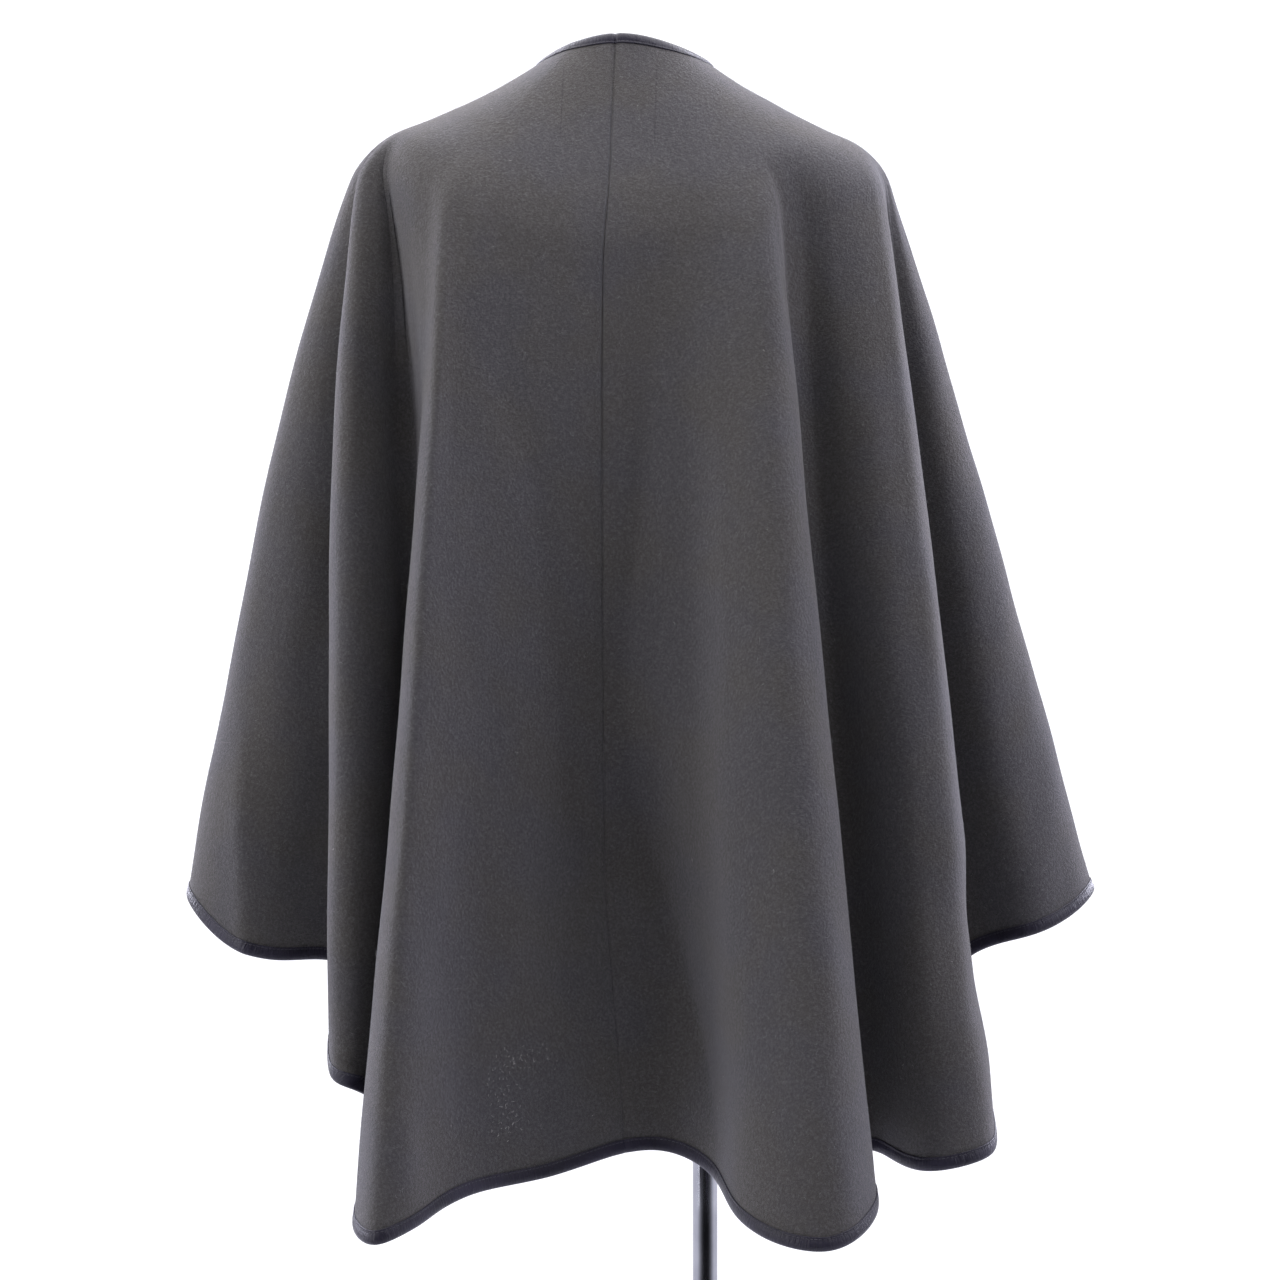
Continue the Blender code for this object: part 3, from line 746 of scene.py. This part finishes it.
def surfaced(tree, inputs, bumps=()):
    """Ends a material: its shader with these inputs, and bumps of a height and a depth."""
    normal = []
    for height, depth in bumps:
        bump = node(tree, "ShaderNodeBump", [
            ("Height", height), ("Distance", depth), ("Strength", 1.0), *normal,
        ])
        normal = [("Normal", bump)]
    shader = node(tree, "ShaderNodeBsdfPrincipled", [*inputs, *normal])
    node(tree, "ShaderNodeOutputMaterial", [("Surface", shader)])


def painted_dart_shade(tree, place):
    """How strongly the wool is darkened by painted shade along the dart lines on the back."""
    x, y, z = node(tree, "ShaderNodeSeparateXYZ", [(0, place)]).outputs
    dart_shade = 0.0
    for top, foot, low, high in DART_SHADE_LINES:
        middle = node(tree, "ShaderNodeMapRange", [
            ("Value", z), ("From Min", low * MM), ("From Max", high * MM),
            ("To Min", BODY_X + foot * MM), ("To Max", BODY_X + top * MM),
        ])
        off = node(tree, "ShaderNodeMath", [(0, x), (1, middle)], operation="SUBTRACT")
        away = node(tree, "ShaderNodeMath", [(0, off)], operation="ABSOLUTE")
        line = node(tree, "ShaderNodeMapRange", [
            ("Value", away), ("From Min", 0.0), ("From Max", DART_SHADE_WIDTH),
            ("To Min", DART_SHADE_STRENGTH), ("To Max", 0.0),
        ])
        begins = node(tree, "ShaderNodeMapRange", [
            ("Value", z), ("From Min", low * MM - DART_SHADE_FADE), ("From Max", low * MM),
        ])
        ends = node(tree, "ShaderNodeMapRange", [
            ("Value", z), ("From Min", high * MM), ("From Max", high * MM + DART_SHADE_FADE),
            ("To Min", 1.0), ("To Max", 0.0),
        ])
        span = node(tree, "ShaderNodeMath", [(0, begins), (1, ends)], operation="MULTIPLY")
        dart_shade = node(tree, "ShaderNodeMath", [
            (0, line), (1, span), (2, dart_shade),
        ], operation="MULTIPLY_ADD")
    on_back = node(tree, "ShaderNodeMath", [(0, y), (1, 0.0)], operation="LESS_THAN")
    return node(tree, "ShaderNodeMath", [(0, on_back), (1, dart_shade)], operation="MULTIPLY")


# Felted wool: brushed melton cloth, matt and soft. Slow drifts of warm and cool grey, with felt
# clumps and fibres that are drawn a few times coarser than the real ones, so that they show.
def wool_material():
    made, tree, place = new_material("felted wool")
    drift = node(tree, "ShaderNodeTexNoise", [
        ("Vector", place), ("Scale", 1 / WOOL_DRIFT), ("Detail", 3.0),
    ])
    clumps = node(tree, "ShaderNodeTexNoise", [
        ("Vector", place), ("Scale", 1 / WOOL_CLUMP), ("Detail", 4.0), ("Roughness", 0.7),
    ])
    fibres = node(tree, "ShaderNodeTexNoise", [
        ("Vector", place), ("Scale", 1 / WOOL_FIBRE), ("Roughness", 0.7), ("Distortion", 0.8),
    ])
    ground = blend(tree, drift, WOOL_WARM, WOOL_COOL, 0.4, 0.6)
    felt = blend(tree, clumps, ground, WOOL_PALE, 0.44, 0.9)
    shaded = blend(tree, fibres, felt, WOOL_DEEP, 0.45, 0.95)
    # Painted shade: the wool darkened along the two dart lines on the back, in place of their
    # grooves' shadow.
    dart_shaded = blend(tree, painted_dart_shade(tree, place), shaded, WOOL_DEEP, 0.0, 1.0)
    surfaced(tree, [
        ("Base Color", dart_shaded),
        ("Roughness", 0.95),
        ("Specular IOR Level", 0.12),
        ("Sheen Weight", 0.17),
        ("Sheen Roughness", 0.55),
        ("Sheen Tint", linear("#d9d6df")),
    ], [(clumps, WOOL_CLUMP_DEPTH), (fibres, WOOL_FIBRE_DEPTH)])
    return made


# Binding: smooth lamb leather, dark with a soft gloss, fine pores and creases across the strip.
def leather_material():
    made, tree, place = new_material("dark leather")
    strip = node(tree, "ShaderNodeUVMap", uv_map="strip")
    stretched = node(tree, "ShaderNodeMapping", [
        ("Vector", strip), ("Scale", (1.0, LEATHER_CREASE / LEATHER_CREASE_LENGTH, 1.0)),
    ])
    creases = node(tree, "ShaderNodeTexNoise", [
        ("Vector", stretched), ("Scale", 1 / LEATHER_CREASE), ("Distortion", 0.6),
    ])
    pores = node(tree, "ShaderNodeTexVoronoi", [("Vector", place), ("Scale", 1 / LEATHER_PORE)])
    wear = node(tree, "ShaderNodeTexNoise", [
        ("Vector", place), ("Scale", 1 / LEATHER_WEAR), ("Detail", 3.0),
    ])
    gloss = node(tree, "ShaderNodeMapRange", [
        ("Value", wear), ("From Min", 0.3), ("From Max", 0.7), ("To Min", 0.42), ("To Max", 0.56),
    ])
    surfaced(tree, [
        ("Base Color", blend(tree, wear, "#13111b", "#1f1c2a")),
        ("Roughness", gloss),
        ("Specular IOR Level", 0.22),
    ], [(creases, LEATHER_CREASE_DEPTH), (pores, LEATHER_PORE_DEPTH)])
    return made


# Thread, lint and hair: spun or loose fibre whose colour wavers along it, with a soft sheen.
def yarn_material(name, dark, light, sheen):
    made, tree, place = new_material(name)
    twist = node(tree, "ShaderNodeTexNoise", [
        ("Vector", place), ("Scale", 1 / YARN_TWIST), ("Detail", 1.0),
    ])
    surfaced(tree, [
        ("Base Color", blend(tree, twist, dark, light)),
        ("Roughness", 0.7),
        ("Sheen Weight", sheen),
    ], [(twist, YARN_DEPTH)])
    return made


# Form cover: off-white cotton jersey, ribbed and matt, a little uneven in tone.
def jersey_material():
    made, tree, place = new_material("form jersey")
    # The wave texture at a scale of 1 has its bands a tenth of pi apart.
    ribs = node(tree, "ShaderNodeTexWave", [
        ("Vector", place), ("Scale", math.pi / 10 / JERSEY_RIB),
        ("Distortion", 1.2), ("Detail", 1.0), ("Detail Scale", 3.0),
    ], wave_type="BANDS", bands_direction="X")
    drift = node(tree, "ShaderNodeTexNoise", [("Vector", place), ("Scale", 1 / JERSEY_DRIFT)])
    surfaced(tree, [
        ("Base Color", blend(tree, drift, "#d3cec4", "#dfdbd2")),
        ("Roughness", 0.85),
        ("Sheen Weight", 0.2),
    ], [(ribs.outputs["Fac"], JERSEY_RIB_DEPTH)])
    return made


# Chromed steel: bright plating with faint hazing and a few handling smudges.
def chrome_material():
    made, tree, place = new_material("chromed steel")
    haze = node(tree, "ShaderNodeTexNoise", [
        ("Vector", place), ("Scale", 1 / CHROME_HAZE), ("Detail", 3.0),
    ])
    ripple = node(tree, "ShaderNodeTexNoise", [("Vector", place), ("Scale", 1 / CHROME_RIPPLE)])
    smudge = node(tree, "ShaderNodeMapRange", [
        ("Value", haze), ("From Min", 0.35), ("From Max", 0.7), ("To Min", 0.06), ("To Max", 0.2),
    ])
    surfaced(tree, [
        ("Base Color", blend(tree, haze, "#8f909c", "#a6a7b2")),
        ("Metallic", 1.0),
        ("Roughness", smudge),
    ], [(ripple, CHROME_RIPPLE_DEPTH)])
    return made


# Studio floor: pale matt paint with a barely uneven tone.
def floor_material():
    made, tree, place = new_material("pale floor")
    drift = node(tree, "ShaderNodeTexNoise", [
        ("Vector", place), ("Scale", 1 / FLOOR_DRIFT), ("Detail", 3.0),
    ])
    surfaced(tree, [
        ("Base Color", blend(tree, drift, "#d2d3d6", "#dcdde0")),
        ("Roughness", 0.8),
    ])
    return made


def new_group(name, values):
    """A geometry node group with a mesh in and out, and the sockets of its own named inputs."""
    tree = bpy.data.node_groups.new(name, "GeometryNodeTree")
    for way in ("INPUT", "OUTPUT"):
        tree.interface.new_socket("Geometry", in_out=way, socket_type="NodeSocketGeometry")
    kinds = {bpy.types.Material: "NodeSocketMaterial", int: "NodeSocketInt"}
    for key, value in values.items():
        kind = kinds.get(type(value), "NodeSocketFloat")
        tree.interface.new_socket(key, in_out="INPUT", socket_type=kind)
    return tree, node(tree, "NodeGroupInput").outputs


def end_group(tree, placed, material):
    """Ends a node group with its instances made real, in their material."""
    real = node(tree, "GeometryNodeRealizeInstances", [(0, placed)])
    coloured = node(tree, "GeometryNodeSetMaterial", [
        ("Geometry", real), ("Material", material),
    ])
    node(tree, "NodeGroupOutput", [(0, coloured)])


def made_by(tree, mesh, values, name):
    """The plain mesh that a node group makes from a source mesh."""
    source = new_object(mesh.name, mesh)
    modifier = source.modifiers.new(name, "NODES")
    modifier.node_group = tree
    for item in tree.interface.items_tree:
        if item.in_out == "INPUT" and item.name in values:
            modifier[item.identifier] = values[item.name]
    bpy.context.view_layer.update()
    evaluated = source.evaluated_get(bpy.context.evaluated_depsgraph_get())
    result = bpy.data.meshes.new_from_object(evaluated)
    source.modifiers.remove(modifier)
    bpy.data.objects.remove(source)
    result.name = name
    result.shade_smooth()
    return new_object(name, result)


def stitches(name, paths, values):
    """A row of thread stitches along each closed path of points."""
    points, edges = [], []
    for path in paths:
        start, count = len(points), len(path)
        points += (path + (BODY_X, 0, 0)).tolist()
        edges += [(start + i, start + (i + 1) % count) for i in range(count)]
    mesh = bpy.data.meshes.new(name + "_path")
    mesh.from_pydata(points, edges, [])

    tree, given = new_group(name, values)
    curve = node(tree, "GeometryNodeMeshToCurve", [(0, given["Geometry"])])
    spaced = node(tree, "GeometryNodeResampleCurve", [
        ("Curve", curve), ("Length", given["Spacing"]),
    ], mode="LENGTH")
    ball = node(tree, "GeometryNodeMeshUVSphere", [("Segments", 6), ("Rings", 5), ("Radius", 0.5)])
    size = node(tree, "ShaderNodeCombineXYZ", [
        (0, given["Thickness"]), (1, given["Thickness"]), (2, given["Length"]),
    ])
    stitch = node(tree, "GeometryNodeTransform", [("Geometry", ball), ("Scale", size)])
    along = node(tree, "GeometryNodeInputTangent")
    turn = node(tree, "FunctionNodeAlignRotationToVector", [("Vector", along)], axis="Z")
    uneven = node(tree, "FunctionNodeRandomValue", [
        (2, STITCH_SIZES[0]), (3, STITCH_SIZES[1]), ("Seed", given["Seed"]),
    ])
    placed = node(tree, "GeometryNodeInstanceOnPoints", [
        ("Points", spaced), ("Instance", stitch), ("Rotation", turn), ("Scale", uneven.outputs[1]),
    ])
    end_group(tree, placed, given["Material"])
    return made_by(tree, mesh, values, name)


def scattered(name, points, faces, weight, values):
    """Bent fibres scattered on faces, as dense as each point's weight says."""
    mesh = bpy.data.meshes.new(name + "_ground")
    mesh.from_pydata((points + (BODY_X, 0, 0)).tolist(), [], faces)
    mesh.attributes.new("fibre_weight", "FLOAT", "POINT").data.foreach_set("value", weight)

    tree, given = new_group(name, values)
    weighted = node(tree, "GeometryNodeInputNamedAttribute", [("Name", "fibre_weight")])
    density = node(tree, "ShaderNodeMath", [
        (0, weighted), (1, given["Density"]),
    ], operation="MULTIPLY")
    spots = node(tree, "GeometryNodeDistributePointsOnFaces", [
        ("Mesh", given["Geometry"]), ("Density", density), ("Seed", given["Seed"]),
    ])
    start, middle, end = FIBRE_BEND
    line = node(tree, "GeometryNodeCurveQuadraticBezier", [
        ("Resolution", 2), ("Start", start), ("Middle", middle), ("End", end),
    ])
    size = node(tree, "ShaderNodeCombineXYZ", [
        (0, given["Length"]), (1, given["Length"]), (2, given["Lift"]),
    ])
    bent = node(tree, "GeometryNodeTransform", [("Geometry", line), ("Scale", size)])
    section = node(tree, "GeometryNodeCurvePrimitiveCircle", [
        ("Resolution", 3), ("Radius", given["Radius"]),
    ])
    fibre = node(tree, "GeometryNodeCurveToMesh", [("Curve", bent), ("Profile Curve", section)])
    angle = node(tree, "FunctionNodeRandomValue", [
        (2, -math.pi), (3, math.pi), ("Seed", given["Seed"]),
    ])
    spin = node(tree, "FunctionNodeAxisAngleToRotation", [
        ("Axis", (0, 0, 1)), ("Angle", angle.outputs[1]),
    ])
    turn = node(tree, "FunctionNodeRotateRotation", [
        (0, spots.outputs["Rotation"]), (1, spin),
    ], rotation_space="LOCAL")
    grown = node(tree, "FunctionNodeRandomValue", [
        (2, FIBRE_SIZES[0]), (3, FIBRE_SIZES[1]), ("Seed", FIBRE_SIZE_SEED),
    ])
    placed = node(tree, "GeometryNodeInstanceOnPoints", [
        ("Points", spots), ("Instance", fibre), ("Rotation", turn), ("Scale", grown.outputs[1]),
    ])
    end_group(tree, placed, given["Material"])
    return made_by(tree, mesh, values, name)


def torso_ring(direction, height):
    """An oval round the form with a point in each direction, each at its own height."""
    table = np.array(sorted(TORSO_SECTIONS), float) * MM
    half_width, behind, ahead = (np.interp(height, table[:, 0], table[:, i]) for i in (1, 2, 3))
    depth = np.where(direction[:, 1] < 0, behind, ahead)
    return np.column_stack([direction[:, 0] * half_width, direction[:, 1] * depth, height])


def form_rings():
    """The rings of the form from top to bottom: a short neck, the shoulders and a closed torso."""
    place = np.arange(FORM_COLUMNS) * len(FORM_LINES) / FORM_COLUMNS
    neck, yoke = cap_lines(place)
    length = np.linalg.norm(yoke - neck, axis=1)
    shares = [FORM_NECK_EDGE / length]
    shares += [np.full(FORM_COLUMNS, share) for share in FORM_CAP_SHARES]
    shares.append(1 - SHOULDER_BEND / length)
    cap = np.array([on_cap(neck, yoke, share) for share in shares])
    in_front = np.clip(yoke[:, 1] / FRONT_EASE_REACH, 0, 1)
    inward = CLOTH / 2 + SEAM_GAP + LEATHER + SEAT_GAP + ROLL_EASE + FRONT_EASE * in_front
    cap = cap - inward[:, None] * grid_normals(cap)

    _, half_width, behind, _ = TORSO_SECTIONS[0]
    angle = np.arctan2(yoke[:, 1] / behind, yoke[:, 0] / half_width)
    direction = np.column_stack([np.cos(angle), np.sin(angle)])
    lowest = TORSO_SECTIONS[-1][0] * MM
    torso = []
    for share in np.linspace(FORM_BEND_SHARE, 1, FORM_TORSO_ROWS):
        torso.append(torso_ring(direction, yoke[:, 2] * (1 - share) + lowest * share))

    flat = np.column_stack([direction, np.zeros(FORM_COLUMNS)])
    neck_top = NECK_TOP_RADIUS * flat + np.array([0, 0, FORM_TOP])
    neck_foot = NECK_FOOT_RADIUS * flat + np.array([0, 0, NECK_FOOT])
    bottom = torso[-1] * np.array([FORM_BOTTOM_SHARE, FORM_BOTTOM_SHARE, 0])
    bottom = bottom + np.array([0, 0, FORM_BOTTOM])
    return [neck_top, neck_foot, *cap, *torso, bottom]


def dress_form(made_of):
    """The form as a closed cage of its rings, rounded by subdivision."""
    rings = form_rings()
    around = np.append(np.arange(FORM_COLUMNS), 0)
    faces = []
    for upper in range(len(rings) - 1):
        faces += quads(around + upper * FORM_COLUMNS, around + (upper + 1) * FORM_COLUMNS)
    faces.append(around[:-1][::-1].tolist())
    faces.append((around[:-1] + (len(rings) - 1) * FORM_COLUMNS).tolist())
    made = smooth_mesh("form", np.concatenate(rings), faces, made_of)
    softened = made.modifiers.new("rounded", "SUBSURF")
    softened.levels = softened.render_levels = 2
    return made


def turned(name, profile, made_of, rounding):
    """A solid turned about the pole's axis, from a profile of radius and height, top to bottom."""
    mesh = bpy.data.meshes.new(name)
    edges = [(i, i + 1) for i in range(len(profile) - 1)]
    mesh.from_pydata([(radius, 0, height) for radius, height in profile], edges, [])
    mesh.materials.append(made_of)
    made = new_object(name, mesh)
    screw = made.modifiers.new("turn", "SCREW")
    screw.steps = screw.render_steps = TURNED_STEPS
    screw.use_merge_vertices = True
    screw.merge_threshold = TURNED_MERGE
    bevel = made.modifiers.new("rounded", "BEVEL")
    bevel.width = rounding
    bevel.segments = 3
    bevel.limit_method = "ANGLE"
    bevel.angle_limit = math.radians(30)
    bevel.harden_normals = True
    return made


def applied(piece):
    """The piece with its modifiers turned into plain mesh."""
    bpy.context.view_layer.update()
    evaluated = piece.evaluated_get(bpy.context.evaluated_depsgraph_get())
    mesh = bpy.data.meshes.new_from_object(evaluated)
    piece.modifiers.clear()
    piece.data = mesh
    mesh.shade_smooth()
    mesh.set_sharp_from_angle(angle=math.radians(STAND_SHARP))
    return piece


def softbox(name, place, size, power, colour):
    """A rectangular light that faces the poncho."""
    data = bpy.data.lights.new(name, "AREA")
    data.shape = "RECTANGLE"
    data.size, data.size_y = size
    data.energy = power
    data.color = linear(colour)[:3]
    made = new_object(name, data)
    made.location = place
    aim = Vector(LIGHTS_AIM) - Vector(place)
    made.rotation_euler = aim.to_track_quat("-Z", "Y").to_euler()


def white_room():
    """A world that is white behind the object and dimmer before it, and white to the camera."""
    world = bpy.data.worlds.new("white room")
    world.use_nodes = True
    tree = world.node_tree
    tree.nodes.clear()
    direction = node(tree, "ShaderNodeTexCoord").outputs["Generated"]
    forward = node(tree, "ShaderNodeSeparateXYZ", [(0, direction)]).outputs["Y"]
    lit = node(tree, "ShaderNodeMapRange", [
        ("Value", forward), ("From Min", -1.0), ("From Max", 0.0),
        ("To Min", ROOM_SHADE), ("To Max", ROOM_LIGHT),
    ], interpolation_type="SMOOTHSTEP")
    seen = node(tree, "ShaderNodeLightPath").outputs["Is Camera Ray"]
    white = node(tree, "ShaderNodeMath", [(0, seen), (1, BACKDROP_LIGHT)], operation="MULTIPLY")
    shown = node(tree, "ShaderNodeMath", [(0, lit), (1, white)], operation="MAXIMUM")
    background = node(tree, "ShaderNodeBackground", [
        ("Color", linear("#fafaff")), ("Strength", shown),
    ])
    node(tree, "ShaderNodeOutputWorld", [("Surface", background)])
    return world


def studio():
    """The white room, its softboxes, a pale floor and the camera."""
    scene = bpy.context.scene
    scene.world = white_room()
    scene.view_settings.view_transform = "Standard"
    for light in LIGHTS:
        softbox(*light)

    mesh = bpy.data.meshes.new("floor")
    half = FLOOR_SIZE / 2
    corners = [(-half, -half, 0), (half, -half, 0), (half, half, 0), (-half, half, 0)]
    mesh.from_pydata(corners, [], [(0, 1, 2, 3)])
    mesh.materials.append(floor_material())
    new_object("floor", mesh)

    camera = bpy.data.cameras.new("camera")
    camera.lens = CAMERA_LENS
    eye = new_object("camera", camera)
    eye.location = CAMERA_PLACE
    eye.rotation_euler = (math.radians(90), 0, 0)
    scene.camera = eye


def poncho_panels(position, grid, normals, wool):
    """The four panels between the seams, by the names of their solids."""
    back, left, front, right = (int(np.argmin(np.abs(position - seam))) for seam in seam_rows())
    spans = {
        "back_left": (back, left),
        "front_left": (left, front),
        "front_right": (front, right),
        "back_right": (right, back + len(position)),
    }
    panels = {}
    for name, (first, last) in spans.items():
        panels[name] = cloth_panel("cloth_" + name, grid, normals, first, last, wool)
    return panels


def bindings(leather):
    """The bindings of the hem and the neck, each with the two lines that its stitches follow."""
    fine = np.arange(len(hem_rows()) * BINDING_COLUMNS) / BINDING_COLUMNS
    rows, out = shaped_cloth(fine)
    hem_edge = (rows[-1], rows[-2], out[-1], out[-2])
    # The neck is shorter, so it takes every other column, and the other way round.
    neck_edge = tuple(row[::-2] for row in (rows[0], rows[1], out[0], out[1]))
    hem = binding("binding_hem", hem_edge, HEM_BINDING, HEM_PUCKERS, leather)
    neck = binding("binding_neck", neck_edge, NECK_BINDING, (), leather)
    return hem, neck


def loose_fibres(grid, normals, lint, hair):
    """Lint, thickest in the patch above the left half of the hem, and the wool's short nap."""
    outer = grid + normals * CLOTH / 2
    rows, around = outer.shape[:2]
    numbers = np.arange(rows * around).reshape(rows, around)
    closed = np.append(np.arange(around), 0)
    faces = []
    for upper in range(ROWS_IN_NECK_BINDING, rows - ROWS_IN_HEM_BINDING):
        faces += quads(numbers[upper][closed], numbers[upper + 1][closed])
    points = outer.reshape(-1, 3)
    weight = np.full(len(points), LINT_EVERYWHERE)
    for x, z, reach_x, reach_z in LINT_PATCHES:
        near = np.hypot((points[:, 0] / MM - x) / reach_x, (points[:, 2] / MM - z) / reach_z)
        weight += np.exp(-(near**2)) * (points[:, 1] < LINT_BEHIND)
    flecks = scattered("lint_flecks", points, faces, weight, {**LINT, "Material": lint})
    even = np.ones(len(points))
    return flecks, scattered("wool_nap", points, faces, even, {**NAP, "Material": hair})


def standing_parts():
    """The form on its pole and base, each a little clear of the next."""
    steel = chrome_material()
    form = applied(dress_form(jersey_material()))
    bore = POLE_RADIUS + SEAM_GAP
    base = applied(turned("base", [
        (0, BASE_THICKNESS),
        (bore, BASE_THICKNESS),
        (bore, SOCKET_HEIGHT),
        (SOCKET_RADIUS, SOCKET_HEIGHT),
        (SOCKET_RADIUS, BASE_THICKNESS),
        (BASE_RADIUS, BASE_THICKNESS),
        (BASE_RADIUS, 0),
        (0, 0),
    ], steel, BASE_EDGE / 2))
    foot, top = BASE_THICKNESS + SEAM_GAP, FORM_BOTTOM - SEAM_GAP
    pole = applied(turned("pole", [
        (0, top),
        (POLE_RADIUS, top),
        (POLE_RADIUS, foot),
        (0, foot),
    ], steel, POLE_EDGE))
    return form, pole, base


def main():
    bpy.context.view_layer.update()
    wool, leather = wool_material(), leather_material()
    thread = yarn_material("sewing thread", "#15131c", "#2b2834", 0.1)
    lint = yarn_material("lint", "#8d8a86", "#c9c6c0", 0.4)
    hair = yarn_material("wool hair", "#302e32", "#474549", 0.3)

    position = ring_positions(COLUMNS_PER_FOLD_POINT)
    grid, normals = shaped_cloth(position)
    panels = poncho_panels(position, grid, normals, wool)
    (hem, hem_lines), (neck, neck_lines) = bindings(leather)
    sewing = {**STITCH, "Material": thread}
    hem_sewing = stitches("stitches_hem", hem_lines, sewing)
    neck_sewing = stitches("stitches_neck", neck_lines, sewing)
    flecks, nap = loose_fibres(grid, normals, lint, hair)
    form, pole, base = standing_parts()

    solids = {
        **panels,
        "hem_binding": hem,
        "neck_binding": neck,
        "dress_form": form,
        "stand_pole": pole,
        "stand_base": base,
    }
    for name, piece in solids.items():
        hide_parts(name)
    slots = {
        "form_cover": [form],
        "steel": [pole, base],
        "wool": list(panels.values()),
        "binding": [hem, neck],
    }
    for piece in [*sum(slots.values(), []), hem_sewing, neck_sewing, flecks, nap]:
        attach(piece, "root")
    studio()


main()
